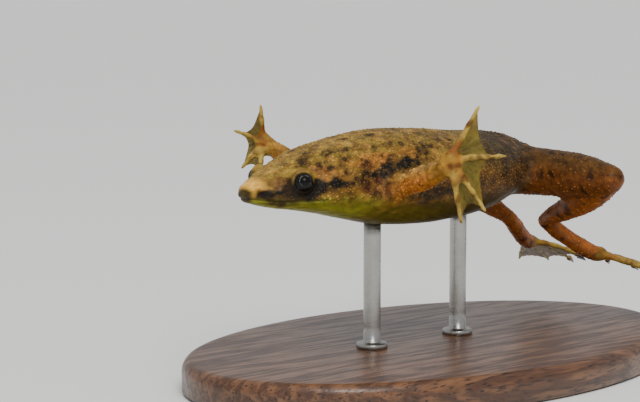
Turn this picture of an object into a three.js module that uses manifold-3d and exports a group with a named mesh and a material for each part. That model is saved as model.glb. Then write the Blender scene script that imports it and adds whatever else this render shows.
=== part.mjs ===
// An African dwarf frog in a floating pose, as a still life-size model on a small display stand.
// Millimetres, +X towards the snout, +Y to the frog's left, +Z up. The group's origin is the centre of the
// stand's underside. Inside the frog, x runs from the vent and z from the level of the eyes.
import * as THREE from "three";
import { LoftGeometry } from "three/addons/geometries/LoftGeometry.js";
import { mergeVertices } from "three/addons/utils/BufferGeometryUtils.js";
import Module from "manifold-3d";

const wasm = await Module();
wasm.setup();

// Driving sizes
const BODY_LENGTH = 34.9; // snout tip to vent
const EYE_LEVEL = 19.5; // above the table
const BODY_MIDDLE = 12; // the point of the frog that stands over the middle of the base
const GAP = 0.3; // left between neighbouring pieces
const WEB_THICKNESS = 0.5;

// Trunk and head, from the snout to the vent: where each section is, how wide it is to each side,
// and how high its top, its widest level and its bottom lie.
const BODY_STATIONS = [
  { x: BODY_LENGTH, side: 0.6, top: -0.85, wide: -1.3, bottom: -1.75 },
  { x: 34.55, side: 1.15, top: -0.55, wide: -1.3, bottom: -2.0 },
  { x: 33.8, side: 1.8, top: -0.08, wide: -1.3, bottom: -2.24 },
  { x: 32.8, side: 2.4, top: 0.5, wide: -1.25, bottom: -2.5 },
  { x: 31.5, side: 3.0, top: 1.15, wide: -1.2, bottom: -2.72 },
  { x: 30.0, side: 3.65, top: 1.8, wide: -1.2, bottom: -2.92 },
  { x: 28.0, side: 4.45, top: 2.5, wide: -1.15, bottom: -3.3 },
  { x: 26.0, side: 4.9, top: 2.9, wide: -1.0, bottom: -3.75 },
  { x: 24.0, side: 5.2, top: 3.2, wide: -0.9, bottom: -4.2 },
  { x: 20.0, side: 6.5, top: 3.7, wide: -0.8, bottom: -4.95 },
  { x: 15.0, side: 7.7, top: 3.6, wide: -0.8, bottom: -5.1 },
  { x: 10.0, side: 7.4, top: 3.15, wide: -0.8, bottom: -4.6 },
  { x: 5.0, side: 5.3, top: 2.8, wide: -0.6, bottom: -3.4 },
  { x: 2.0, side: 3.4, top: 1.8, wide: -0.4, bottom: -2.3 },
  { x: 0.2, side: 1.9, top: 0.7, wide: -0.35, bottom: -1.4 },
  { x: -0.6, side: 0.8, top: 0.0, wide: -0.35, bottom: -0.8 },
];
const BODY_RINGS = 30;
const BODY_SIDES = 28;
const BODY_SQUARENESS = 2.25; // 2 is an ellipse, more is boxier

// Head
const NECK_X = 25.5;
const EYE = { x: 30.85, y: 3.15, z: -0.12, radius: 0.85 };
const EYE_RIM = { radius: 1.1, tube: 0.24, seat: 0.35 };
const EYE_LOOKS = new THREE.Vector3(0.45, 0.85, 0.25).normalize();
const NOSTRIL = { x: 34.2, y: 1.3, z: -1.0, radius: 0.26, rim: 0.42 };
// The line of the mouth sags from the tip to a low point and rises to its corner below the eye.
const MOUTH = { tipZ: -1.6, sagX: 32.2, sagZ: -1.9, cornerX: 28.8, cornerZ: -1.8, throatX: 27.2, throatZ: -5 };
const LIP = { radius: 0.2, height: 0.32 }; // a ridge this far above the line of the mouth

// Limbs: where the joints are, and how thick the flesh is along each limb.
const ARM_RADII = [1.55, 1.35, 1.15, 1.08, 1.15, 1.0, 0.85, 0.75];
const ARMS = {
  left: {
    joints: [[22.3, 3.2, -2.0], [21.9, 8.1, -0.2], [21.9, 11.3, 1.05]],
    palm: [21.95, 12.2, 1.98],
    out: [-0.766, 0.643, 0], // along the middle of the hand
    cup: 0, // how far the fingers lean forward out of the hand's plane
    // Each finger: its length, and the angle that it rises from the middle of the hand.
    fingers: [
      { length: 5.6, angle: -80 },
      { length: 5.4, angle: -56 },
      { length: 4.8, angle: 3 },
      { length: 5.1, angle: 61 },
    ],
    webDips: [0.2, 0.34, 0.28],
  },
  right: {
    joints: [[22.3, -3.2, -2.0], [22.2, -7.8, -0.3], [23.5, -10.1, 1.5]],
    palm: [24.0, -11.0, 2.15],
    out: [0.766, -0.643, 0],
    cup: 0.5,
    fingers: [
      { length: 3.6, angle: -84 },
      { length: 3.6, angle: -52 },
      { length: 3.2, angle: 20 },
      { length: 3.7, angle: 86 },
    ],
    webDips: [0.22, 0.4, 0.34],
  },
};
const HAND_FACES = new THREE.Vector3(0.639, 0.761, 0.113).normalize();
const PALM = { across: 1.3, along: 1.2, thick: 0.62, drop: 0.3 };
const FINGER_RADIUS = { root: 0.55, middle: 0.4, tip: 0.26 };
const FINGER_CURL = 0.5;

const THIGH_RADII = [2.2, 2.45, 2.45, 2.3, 2.1, 1.8, 1.45];
const SHANK_RADII = [1.35, 1.5, 1.6, 1.5, 1.25, 1.0, 0.9];
const TARSUS_RADII = [0.9, 0.9, 0.85, 0.85, 0.95, 0.9];
const LEGS = {
  left: {
    hip: [3.6, 1.4, -0.9],
    knee: [2.1, 13.0, -1.0],
    ankle: [-0.6, 2.2, -6.1],
    heel: [-5.5, 4.1, -9.5],
    points: [-0.95, 0.2, -0.2],
    fanAxis: [0.2, 0.97, -0.12],
  },
  right: {
    hip: [3.6, -1.4, -0.9],
    knee: [2.5, -12.6, -1.0],
    ankle: [-0.9, -2.7, -6.3],
    heel: [-5.1, -4.4, -9.2],
    points: [-0.94, -0.26, -0.2],
    fanAxis: [0.26, -0.96, -0.1],
  },
};
// Toes from the inner, clawed one to the outer one: angle in the fan and length
const TOES = [
  { angle: -36, length: 5.8, claw: true },
  { angle: -18, length: 7.8, claw: true },
  { angle: -1, length: 9.6, claw: true },
  { angle: 15, length: 10.8, claw: false },
  { angle: 32, length: 9.8, claw: false },
];
const TOE_RADIUS = { root: 0.55, middle: 0.42, tip: 0.28 };
const TOE_CURL = 1.0;
const FOOT_WEB_DIP = 0.16;
const CLAW = { length: 0.95, radius: 0.3, room: 0.5 };

// Stand
const BASE = { length: 54, width: 34, height: 3, bevel: 0.5 };
const ROD_RADIUS = 0.8;
const ROD_XS = { front: 20, rear: 9 };

const v = (a) => new THREE.Vector3(...a);

// Solids from and to three.js geometry

function solid(geometry) {
  const bare = new THREE.BufferGeometry();
  bare.setAttribute("position", geometry.getAttribute("position").clone());
  if (geometry.index) bare.setIndex(geometry.index.clone());
  const merged = mergeVertices(bare, 1e-4);
  const mesh = new wasm.Mesh({
    numProp: 3,
    vertProperties: merged.attributes.position.array,
    triVerts: new Uint32Array(merged.index.array),
  });
  return new wasm.Manifold(mesh);
}

function geometryOf(manifold) {
  const mesh = manifold.getMesh();
  const geometry = new THREE.BufferGeometry();
  geometry.setAttribute("position", new THREE.BufferAttribute(mesh.vertProperties, 3));
  geometry.setIndex(new THREE.BufferAttribute(mesh.triVerts, 1));
  return geometry;
}

// Keeps the largest closed surface of a piece.
function largest(manifold) {
  const pieces = manifold.decompose();
  return pieces.reduce((best, piece) => (piece.volume() > best.volume() ? piece : best));
}

function union(parts) {
  return parts.reduce((whole, part) => whole.add(part));
}

function ball(centre, radius, wide = 16, high = 12) {
  const geometry = new THREE.SphereGeometry(radius, wide, high);
  geometry.translate(centre.x, centre.y, centre.z);
  return solid(geometry);
}

// A big block on the far side of a plane, to cut with.
function beyond(point, direction, reach = 40) {
  const geometry = new THREE.BoxGeometry(reach, reach, reach);
  geometry.translate(0, 0, reach / 2);
  const turn = new THREE.Quaternion().setFromUnitVectors(new THREE.Vector3(0, 0, 1), direction);
  geometry.applyQuaternion(turn);
  geometry.translate(point.x, point.y, point.z);
  return solid(geometry);
}

// Reads a list of values as a smooth curve, at a share from 0 to 1 of its length.
function smooth(values, share) {
  const place = share * (values.length - 1);
  const i = Math.min(Math.floor(place), values.length - 2);
  const t = place - i;
  const [a, b, c, d] = [-1, 0, 1, 2].map(
    (step) => values[Math.min(Math.max(i + step, 0), values.length - 1)],
  );
  return 0.5 * (2 * b + (c - a) * t + (2 * a - 5 * b + 4 * c - d) * t * t + (3 * b - a - 3 * c + d) * t ** 3);
}

// Trunk and head

function bodySection(share, extra) {
  const read = (key) => smooth(BODY_STATIONS.map((s) => s[key]), share);
  const [x, side, top, wide, bottom] = ["x", "side", "top", "wide", "bottom"].map(read);
  const power = 2 / BODY_SQUARENESS;
  const ring = [];
  for (let k = 0; k < BODY_SIDES; k++) {
    const angle = (k / BODY_SIDES) * 2 * Math.PI;
    const c = Math.cos(angle);
    const s = Math.sin(angle);
    const rise = s > 0 ? top - wide + extra : wide - bottom + extra;
    const y = Math.sign(c) * Math.abs(c) ** power * (side + extra);
    ring.push(new THREE.Vector3(x, -y, wide + Math.sign(s) * Math.abs(s) ** power * rise));
  }
  return ring;
}

function bodySolid(extra = 0) {
  const rings = [];
  for (let i = 0; i <= BODY_RINGS; i++) rings.push(bodySection(i / BODY_RINGS, extra));
  return solid(new LoftGeometry(rings, { capStart: true, capEnd: true }));
}

// The share along the body's stations at one x
function shareAt(x) {
  const xs = BODY_STATIONS.map((s) => s.x);
  let [low, high] = [0, 1];
  for (let step = 0; step < 40; step++) {
    const middle = (low + high) / 2;
    if (smooth(xs, middle) > x) low = middle;
    else high = middle;
  }
  return low;
}

// Half the body's width at one x and one height
function halfWidth(x, z) {
  const read = (key) => smooth(BODY_STATIONS.map((s) => s[key]), shareAt(x));
  const [side, top, wide, bottom] = ["side", "top", "wide", "bottom"].map(read);
  const rise = z > wide ? top - wide : wide - bottom;
  const left = 1 - Math.min(Math.abs(z - wide) / rise, 1) ** BODY_SQUARENESS;
  return side * left ** (1 / BODY_SQUARENESS);
}

function eyeCentre(side) {
  return new THREE.Vector3(EYE.x, side * EYE.y, EYE.z);
}

function eyeRim(side) {
  const looks = EYE_LOOKS.clone().multiply(new THREE.Vector3(1, side, 1));
  const geometry = new THREE.TorusGeometry(EYE_RIM.radius, EYE_RIM.tube, 6, 18);
  geometry.applyQuaternion(new THREE.Quaternion().setFromUnitVectors(new THREE.Vector3(0, 0, 1), looks));
  const seat = eyeCentre(side).addScaledVector(looks, EYE_RIM.seat);
  geometry.translate(seat.x, seat.y, seat.z);
  return solid(geometry);
}

// The region under the line of the mouth, with the mouth's own gap left out when grown.
function jawRegion(grow) {
  const outline = new THREE.Shape();
  const front = BODY_LENGTH + 3;
  outline.moveTo(front, MOUTH.tipZ - GAP / 2 + grow);
  outline.lineTo(BODY_LENGTH, MOUTH.tipZ - GAP / 2 + grow);
  outline.lineTo(MOUTH.sagX, MOUTH.sagZ - GAP / 2 + grow);
  outline.lineTo(MOUTH.cornerX - grow, MOUTH.cornerZ - GAP / 2 + grow);
  outline.lineTo(MOUTH.throatX - grow, MOUTH.throatZ);
  outline.lineTo(front, MOUTH.throatZ);
  const geometry = new THREE.ExtrudeGeometry(outline, { depth: 20, bevelEnabled: false });
  geometry.translate(0, 0, -10);
  geometry.rotateX(Math.PI / 2);
  return solid(geometry);
}

// The height of the line of the mouth
function mouthZ(x) {
  const [fromX, fromZ, toX, toZ] =
    x > MOUTH.sagX
      ? [BODY_LENGTH, MOUTH.tipZ, MOUTH.sagX, MOUTH.sagZ]
      : [MOUTH.sagX, MOUTH.sagZ, MOUTH.cornerX, MOUTH.cornerZ];
  return THREE.MathUtils.lerp(fromZ, toZ, (x - fromX) / (toX - fromX));
}

// A low ridge round the edge of the upper jaw
function lipRidge() {
  const points = [];
  const stops = 7;
  for (let i = -stops; i <= stops; i++) {
    const share = Math.abs(i) / stops;
    const x = BODY_LENGTH - 0.35 - (BODY_LENGTH - 0.35 - MOUTH.cornerX) * share ** 1.6;
    const z = mouthZ(x) + LIP.height;
    const y = i === 0 ? 0 : Math.sign(i) * halfWidth(x, z);
    points.push(new THREE.Vector3(i === 0 ? BODY_LENGTH - 0.1 : x, y, z));
  }
  return limbSolid(points, [LIP.radius, LIP.radius], { steps: 20, sides: 6, cap: 1 });
}

function headPieces(body) {
  const ahead = beyond(new THREE.Vector3(NECK_X + GAP / 2, 0, 0), new THREE.Vector3(1, 0, 0));
  let head = body.intersect(ahead).add(lipRidge());
  for (const side of [1, -1]) {
    head = head.add(eyeRim(side));
    const nostril = new THREE.Vector3(NOSTRIL.x, side * NOSTRIL.y, NOSTRIL.z);
    head = head.add(ball(nostril.clone().add(new THREE.Vector3(-0.12, 0, -0.12)), NOSTRIL.rim, 10, 6));
    const pit = nostril.clone().add(new THREE.Vector3(0.16, side * 0.1, 0.18));
    head = head.subtract(ball(pit, NOSTRIL.radius, 8, 6));
    head = head.subtract(ball(eyeCentre(side), EYE.radius + GAP, 16, 12));
  }
  const jaw = head.intersect(jawRegion(0));
  return { head: largest(head.subtract(jawRegion(GAP))), jaw: largest(jaw) };
}

function torsoPiece(body) {
  const behind = beyond(new THREE.Vector3(NECK_X - GAP / 2, 0, 0), new THREE.Vector3(-1, 0, 0));
  return largest(body.intersect(behind));
}

// Limbs: a loft of round sections along a curve, with a few smaller rings that round off each end

function limbSolid(points, radii, { extra = 0, steps = 12, sides = 12, cap = 3, up = null } = {}) {
  const curve = new THREE.CatmullRomCurve3(points, false, "centripetal");
  const rings = [];
  const total = steps + 2 * cap;
  for (let i = 0; i <= total; i++) {
    const inner = Math.min(Math.max((i - cap) / steps, 0), 1);
    const centre = curve.getPointAt(inner);
    const along = curve.getTangentAt(inner);
    const hint = up ?? new THREE.Vector3(0, 0, 1);
    const acrossAxis = new THREE.Vector3().crossVectors(along, hint).normalize();
    const upAxis = new THREE.Vector3().crossVectors(acrossAxis, along);
    let radius = smooth(radii, inner) + extra;
    const past = i < cap ? cap - i : Math.max(i - cap - steps, 0);
    const lean = (past / (cap + 0.4)) * (Math.PI / 2);
    const direction = i < cap ? -1 : 1;
    centre.addScaledVector(along, direction * Math.sin(lean) * radius);
    radius *= Math.cos(lean);
    const ring = [];
    for (let k = 0; k < sides; k++) {
      const angle = (k / sides) * 2 * Math.PI;
      ring.push(
        centre
          .clone()
          .addScaledVector(acrossAxis, Math.cos(angle) * radius)
          .addScaledVector(upAxis, -Math.sin(angle) * radius),
      );
    }
    rings.push(ring);
  }
  return solid(new LoftGeometry(rings, { capStart: true, capEnd: true }));
}

// Cuts a limb at a joint with a gap across it, and returns the near and the far piece.
function partAt(limb, point, direction) {
  const near = limb.subtract(beyond(point.clone().addScaledVector(direction, -GAP / 2), direction));
  const far = limb.intersect(beyond(point.clone().addScaledVector(direction, GAP / 2), direction));
  return [largest(near), largest(far)];
}

// Hands and feet

// A closed sheet with the same triangles on both faces, from a grid of points and one of normals.
function sheetSolid(points, normals, thickness) {
  const rows = points.length;
  const columns = points[0].length;
  const position = [];
  for (const side of [1, -1])
    for (let i = 0; i < rows; i++)
      for (let j = 0; j < columns; j++) {
        const p = points[i][j].clone().addScaledVector(normals[i][j], (side * thickness) / 2);
        position.push(p.x, p.y, p.z);
      }
  const under = rows * columns;
  const at = (i, j) => i * columns + j;
  const index = [];
  for (let i = 0; i < rows - 1; i++)
    for (let j = 0; j < columns - 1; j++) {
      const [a, b, c, d] = [at(i, j), at(i + 1, j), at(i + 1, j + 1), at(i, j + 1)];
      index.push(a, b, c, a, c, d);
      index.push(under + a, under + c, under + b, under + a, under + d, under + c);
    }
  const rim = [];
  for (let i = 0; i < rows - 1; i++) rim.push(at(i, 0));
  for (let j = 0; j < columns - 1; j++) rim.push(at(rows - 1, j));
  for (let i = rows - 1; i > 0; i--) rim.push(at(i, columns - 1));
  for (let j = columns - 1; j > 0; j--) rim.push(at(0, j));
  rim.forEach((a, k) => {
    const b = rim[(k + 1) % rim.length];
    index.push(b, a, under + a, b, under + a, under + b);
  });
  const geometry = new THREE.BufferGeometry();
  geometry.setAttribute("position", new THREE.Float32BufferAttribute(position, 3));
  geometry.setIndex(index);
  const made = solid(geometry);
  if (made.volume() > 0) return made;
  geometry.setIndex(index.map((_, k) => index[k - (k % 3) + 2 - (k % 3)]));
  return solid(geometry);
}

// The line of one digit: straight at first, then curling towards the palm.
function digitPoint(root, direction, normal, length, curl, share) {
  return root
    .clone()
    .addScaledVector(direction, length * share)
    .addScaledVector(normal, -curl * share ** 2.2);
}

function digitSolid(root, direction, normal, length, curl, radius) {
  const points = [0, 0.25, 0.5, 0.75, 1].map((share) =>
    digitPoint(root, direction, normal, length, curl, share),
  );
  const radii = [radius.root, radius.middle * 1.1, radius.middle, radius.middle * 0.85, radius.tip];
  return limbSolid(points, radii, { steps: 5, sides: 7, cap: 2, up: normal });
}

// The web between two neighbouring digits, its outer edge dipping back between their tips.
function webSolid(root, normal, a, b, curl, depth, innerShare) {
  const across = 4;
  const along = 4;
  const points = [];
  for (let i = 0; i <= across; i++) {
    const s = i / across;
    const direction = a.direction.clone().lerp(b.direction, s).normalize();
    const reach = THREE.MathUtils.lerp(a.length, b.length, s) * 0.96;
    const dip = 1 - depth * Math.sin(Math.PI * s) ** 0.8;
    const row = [];
    for (let j = 0; j <= along; j++) {
      const share = THREE.MathUtils.lerp(innerShare, dip, j / along);
      row.push(digitPoint(root, direction, normal, reach, curl, share));
    }
    points.push(row);
  }
  const normals = points.map((row) => row.map(() => normal));
  return sheetSolid(points, normals, WEB_THICKNESS);
}

function pawSolid(root, normal, digits, radius, curl, dips) {
  const parts = digits.map((d) => digitSolid(root, d.direction, normal, d.length, curl, radius));
  for (let i = 0; i < digits.length - 1; i++)
    parts.push(webSolid(root, normal, digits[i], digits[i + 1], curl, dips[i], 0.12));
  return union(parts);
}

function handDigits(arm) {
  const out = v(arm.out);
  const up = new THREE.Vector3().crossVectors(HAND_FACES, out).normalize();
  if (up.z < 0) up.negate();
  return arm.fingers.map((finger) => {
    const angle = THREE.MathUtils.degToRad(finger.angle);
    const direction = out.clone().multiplyScalar(Math.cos(angle)).addScaledVector(up, Math.sin(angle));
    direction.addScaledVector(HAND_FACES, arm.cup);
    return { length: finger.length, direction: direction.normalize() };
  });
}

// The broad, flat flesh of the hand
function palmPad(arm) {
  const geometry = new THREE.SphereGeometry(1, 14, 9);
  geometry.scale(PALM.along, PALM.across, PALM.thick);
  const out = v(arm.out);
  const up = new THREE.Vector3().crossVectors(HAND_FACES, out).normalize();
  geometry.applyMatrix4(new THREE.Matrix4().makeBasis(out, up, HAND_FACES));
  const palm = v(arm.palm);
  geometry.translate(palm.x, palm.y, palm.z - PALM.drop);
  return solid(geometry);
}

function armPieces(arm, grownBody) {
  const [shoulder, elbow, wrist] = arm.joints.map(v);
  const palm = v(arm.palm);
  const limb = limbSolid([shoulder, elbow, wrist, palm], ARM_RADII, { steps: 16, sides: 14 });
  const atElbow = wrist.clone().sub(shoulder).normalize();
  const atWrist = palm.clone().sub(elbow).normalize();
  const [upper, rest] = partAt(limb, elbow, atElbow);
  const [forearm, stub] = partAt(rest, wrist, atWrist);
  const clear = beyond(wrist.clone().addScaledVector(atWrist, GAP / 2), atWrist);
  const paw = pawSolid(palm, HAND_FACES, handDigits(arm), FINGER_RADIUS, FINGER_CURL, arm.webDips);
  const hand = largest(union([stub, paw.add(palmPad(arm)).intersect(clear)]));
  return { upper: largest(upper.subtract(grownBody)), forearm, hand };
}

function legPieces(leg, grownBody) {
  const [hip, knee, ankle, heel] = [leg.hip, leg.knee, leg.ankle, leg.heel].map(v);
  const points = v(leg.points).normalize();
  const fan = v(leg.fanAxis).addScaledVector(points, -v(leg.fanAxis).dot(points)).normalize();
  const normal = new THREE.Vector3().crossVectors(fan, points).normalize();
  if (normal.z < 0) normal.negate();
  const bulge = knee.clone().add(hip).multiplyScalar(0.5).add(new THREE.Vector3(-0.3, 0, 0.1));
  const thighLine = [hip, bulge, knee];
  const calf = knee.clone().lerp(ankle, 0.45).add(new THREE.Vector3(-0.25, 0, -0.1));
  const shankLine = [knee, calf, ankle];
  const shank = limbSolid(shankLine, SHANK_RADII, { steps: 12, sides: 14 });
  const grownShank = limbSolid(shankLine, SHANK_RADII, { extra: GAP, steps: 12, sides: 14 });
  const thigh = limbSolid(thighLine, THIGH_RADII, { steps: 12, sides: 18 });
  const lead = ankle.clone().lerp(heel, 0.5).add(new THREE.Vector3(0, 0, -0.15));
  const tarsusLine = [ankle, lead, heel, heel.clone().addScaledVector(points, 0.9)];
  const tarsusWhole = limbSolid(tarsusLine, TARSUS_RADII, { steps: 8, sides: 10 });
  const tarsusClear = tarsusWhole.subtract(grownShank);
  const atHeel = heel.clone().sub(ankle).normalize().add(points).normalize();
  const [tarsus, stub] = partAt(largest(tarsusClear), heel, atHeel);
  const digits = TOES.map((toe) => {
    const angle = THREE.MathUtils.degToRad(toe.angle);
    const direction = points.clone().multiplyScalar(Math.cos(angle)).addScaledVector(fan, Math.sin(angle));
    return { length: toe.length, direction: direction.normalize(), claw: toe.claw };
  });
  const root = heel.clone().addScaledVector(points, 0.2);
  const dips = TOES.map(() => FOOT_WEB_DIP);
  const paw = pawSolid(root, normal, digits, TOE_RADIUS, TOE_CURL, dips);
  const clear = beyond(heel.clone().addScaledVector(atHeel, GAP / 2), atHeel);
  let foot = largest(union([stub, paw.intersect(clear)]));
  const claws = [];
  for (const digit of digits.filter((d) => d.claw)) {
    const { claw, socket } = clawSolid(root, digit, normal);
    foot = largest(foot.subtract(socket));
    claws.push(claw);
  }
  return {
    thigh: largest(thigh.subtract(grownBody).subtract(grownShank)),
    shank: largest(shank.subtract(grownBody)),
    tarsus: largest(tarsus.subtract(grownBody)),
    foot,
    claws,
  };
}

// A small black cone on the tip of a toe, and the room that it takes from the toe
function clawSolid(root, digit, normal) {
  const tip = digitPoint(root, digit.direction, normal, digit.length, TOE_CURL, 1);
  const before = digitPoint(root, digit.direction, normal, digit.length, TOE_CURL, 0.9);
  const along = tip.clone().sub(before).normalize();
  const made = (radius, sharp, length, start) => {
    const geometry = new THREE.CylinderGeometry(sharp, radius, length, 10, 1);
    geometry.translate(0, start + length / 2, 0);
    geometry.applyQuaternion(new THREE.Quaternion().setFromUnitVectors(new THREE.Vector3(0, 1, 0), along));
    geometry.translate(tip.x, tip.y, tip.z);
    return solid(geometry);
  };
  return {
    claw: made(CLAW.radius, 0.06, CLAW.length, 0),
    socket: made(CLAW.room, CLAW.room, 2 * CLAW.length, -GAP),
  };
}

// Stand

function basePlate() {
  const outline = new THREE.Shape();
  const inset = BASE.bevel;
  outline.absellipse(0, 0, BASE.length / 2 - inset, BASE.width / 2 - inset, 0, 2 * Math.PI, false, 0);
  return new THREE.ExtrudeGeometry(outline, {
    depth: BASE.height - 2 * inset,
    bevelThickness: inset,
    bevelSize: inset,
    bevelSegments: 2,
    curveSegments: 24,
  }).translate(0, 0, inset);
}

function rod(x) {
  const low = BASE.height + GAP;
  const belly = smooth(BODY_STATIONS.map((s) => s.bottom), shareAt(x));
  const top = EYE_LEVEL + belly - GAP;
  const geometry = new THREE.CylinderGeometry(ROD_RADIUS, ROD_RADIUS, top - low, 16);
  geometry.rotateX(Math.PI / 2);
  geometry.translate(x - BODY_MIDDLE, 0, (low + top) / 2);
  return geometry;
}

// Finishes

const SKIN = new THREE.MeshStandardMaterial({ color: 0x7d6038, roughness: 0.45 });
const PALE_SKIN = new THREE.MeshStandardMaterial({ color: 0x8a7c3c, roughness: 0.45 });
const WEB_SKIN = new THREE.MeshStandardMaterial({ color: 0x9c8a52, roughness: 0.4 });
const EYE_BLACK = new THREE.MeshStandardMaterial({ color: 0x0c0c10, roughness: 0.08 });
const CLAW_BLACK = new THREE.MeshStandardMaterial({ color: 0x15110e, roughness: 0.35 });
const WOOD = new THREE.MeshStandardMaterial({ color: 0x3a2417, roughness: 0.5 });
const STEEL = new THREE.MeshStandardMaterial({ color: 0x9a9a98, roughness: 0.3, metalness: 1 });

const model = new THREE.Group();
const frog = new THREE.Group();
frog.position.set(-BODY_MIDDLE, 0, EYE_LEVEL);
model.add(frog);

function place(parent, name, geometry, material) {
  const mesh = new THREE.Mesh(geometry, material);
  mesh.name = name;
  parent.add(mesh);
}

const body = bodySolid();
const grownBody = bodySolid(GAP);
const { head, jaw } = headPieces(body);
place(frog, "torso", geometryOf(torsoPiece(body)), SKIN);
place(frog, "head", geometryOf(head), SKIN);
place(frog, "lower_jaw", geometryOf(jaw), PALE_SKIN);
for (const [name, side] of [["left", 1], ["right", -1]]) {
  place(frog, `eye_${name}`, geometryOf(ball(eyeCentre(side), EYE.radius, 16, 12)), EYE_BLACK);
  const arm = armPieces(ARMS[name], grownBody);
  place(frog, `upper_arm_${name}`, geometryOf(arm.upper), SKIN);
  place(frog, `forearm_${name}`, geometryOf(arm.forearm), SKIN);
  place(frog, `hand_${name}`, geometryOf(arm.hand), WEB_SKIN);
  const leg = legPieces(LEGS[name], grownBody);
  place(frog, `thigh_${name}`, geometryOf(leg.thigh), SKIN);
  place(frog, `shank_${name}`, geometryOf(leg.shank), SKIN);
  place(frog, `tarsus_${name}`, geometryOf(leg.tarsus), SKIN);
  place(frog, `foot_${name}`, geometryOf(leg.foot), WEB_SKIN);
  leg.claws.forEach((claw, i) => place(frog, `claw_${name}_${i + 1}`, geometryOf(claw), CLAW_BLACK));
}
place(model, "stand_base", basePlate(), WOOD);
place(model, "stand_rod_front", rod(ROD_XS.front), STEEL);
place(model, "stand_rod_rear", rod(ROD_XS.rear), STEEL);

export default model;
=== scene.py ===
"""A still, life-size African dwarf frog in a floating pose, on a small display stand.

Everything is shaped in the frog's own frame, in millimetres: x runs from the vent to the snout, y to the
frog's left, and z up from the level of the eyes. to_row() then puts it into the row frame, in metres.
"""

import math

import bpy
import bmesh
import numpy as np
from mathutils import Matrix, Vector


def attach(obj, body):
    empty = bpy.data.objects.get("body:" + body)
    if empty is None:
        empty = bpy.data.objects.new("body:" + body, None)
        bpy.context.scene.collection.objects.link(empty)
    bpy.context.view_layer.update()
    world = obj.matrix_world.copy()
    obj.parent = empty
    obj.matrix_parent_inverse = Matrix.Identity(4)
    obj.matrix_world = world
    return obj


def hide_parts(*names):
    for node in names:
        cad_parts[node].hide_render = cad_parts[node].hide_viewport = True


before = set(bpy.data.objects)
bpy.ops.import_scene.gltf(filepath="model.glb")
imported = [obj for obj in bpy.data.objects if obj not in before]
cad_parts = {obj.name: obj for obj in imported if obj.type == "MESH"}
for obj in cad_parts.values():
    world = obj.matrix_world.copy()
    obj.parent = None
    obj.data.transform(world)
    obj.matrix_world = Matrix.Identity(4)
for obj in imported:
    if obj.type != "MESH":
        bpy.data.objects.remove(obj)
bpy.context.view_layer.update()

# Sizes shared with the solids

EYE_LEVEL = 19.5
BODY_MIDDLE = 12.0
BODY_LENGTH = 34.9
BODY_SQUARENESS = 2.25
BODY_STATIONS = np.array(
    [
        # x, half width, top, widest level, bottom
        (BODY_LENGTH, 0.6, -0.85, -1.3, -1.75),
        (34.55, 1.15, -0.55, -1.3, -2.0),
        (33.8, 1.8, -0.08, -1.3, -2.24),
        (32.8, 2.4, 0.5, -1.25, -2.5),
        (31.5, 3.0, 1.15, -1.2, -2.72),
        (30.0, 3.65, 1.8, -1.2, -2.92),
        (28.0, 4.45, 2.5, -1.15, -3.3),
        (26.0, 4.9, 2.9, -1.0, -3.75),
        (24.0, 5.2, 3.2, -0.9, -4.2),
        (20.0, 6.5, 3.7, -0.8, -4.95),
        (15.0, 7.7, 3.6, -0.8, -5.1),
        (10.0, 7.4, 3.15, -0.8, -4.6),
        (5.0, 5.3, 2.8, -0.6, -3.4),
        (2.0, 3.4, 1.8, -0.4, -2.3),
        (0.2, 1.9, 0.7, -0.35, -1.4),
        (-0.6, 0.8, 0.0, -0.35, -0.8),
    ]
)
EYE = {"place": (30.8, 3.15, -0.2), "radius": 0.9, "looks": (0.45, 0.85, 0.25)}
LID = {"radius": 0.88, "tube": 0.165, "seat": 0.39}
LID_BACK = {"radius": 0.9, "tube": 0.25, "seat": 0.12}
NOSTRIL = (34.2, 1.3, -1.0)
MOUTH = {"tip_z": -1.6, "sag_x": 32.2, "sag_z": -1.95, "corner_x": 28.8, "corner_z": -1.8}

ARM_RADII = (1.55, 1.35, 1.15, 1.08, 1.15, 1.0, 0.85, 0.75)
ARMS = {
    "left": {
        "joints": ((22.3, 3.2, -2.0), (21.9, 8.1, -0.2), (21.9, 11.3, 1.05)),
        "palm": (21.95, 12.2, 1.98),
        "out": (-0.766, 0.643, 0.0),
        "cup": 0.0,
        "fingers": ((-80, 5.6), (-56, 5.4), (3, 4.8), (61, 5.1)),
        "web_dips": (0.2, 0.34, 0.28),
    },
    "right": {
        "joints": ((22.3, -3.2, -2.0), (22.2, -7.8, -0.3), (23.5, -10.1, 1.5)),
        "palm": (24.0, -11.0, 2.15),
        "out": (0.766, -0.643, 0.0),
        "cup": 0.5,
        "fingers": ((-84, 3.6), (-52, 3.6), (20, 3.2), (86, 3.7)),
        "web_dips": (0.22, 0.4, 0.34),
    },
}
# Both palms face the camera
HAND_FACES = (0.639, 0.761, 0.113)
FINGER_CURL = 0.5
PALM = {"along": 1.2, "across": 1.3, "thick": 0.6, "drop": 0.3}

THIGH_RADII = (2.2, 2.45, 2.45, 2.3, 2.1, 1.8, 1.45)
SHANK_RADII = (1.35, 1.5, 1.6, 1.5, 1.25, 1.0, 0.9)
TARSUS_RADII = (0.9, 0.9, 0.85, 0.85, 0.95, 0.9)
LEGS = {
    "left": {
        "hip": (3.6, 1.4, -0.9),
        "knee": (2.1, 13.0, -1.0),
        "ankle": (-0.6, 2.2, -6.1),
        "heel": (-5.5, 4.1, -9.5),
        "points": (-0.95, 0.2, -0.2),
        "fan": (0.2, 0.97, -0.12),
    },
    "right": {
        "hip": (3.6, -1.4, -0.9),
        "knee": (2.5, -12.6, -1.0),
        "ankle": (-0.9, -2.7, -6.3),
        "heel": (-5.1, -4.4, -9.2),
        "points": (-0.94, -0.26, -0.2),
        "fan": (0.26, -0.96, -0.1),
    },
}
TOES = ((-36, 5.8), (-18, 7.8), (-1, 9.6), (15, 10.8), (32, 9.8))
CLAWED_TOES = 3
TOE_CURL = 1.0
FOOT_WEB_DIP = 0.16
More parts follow.
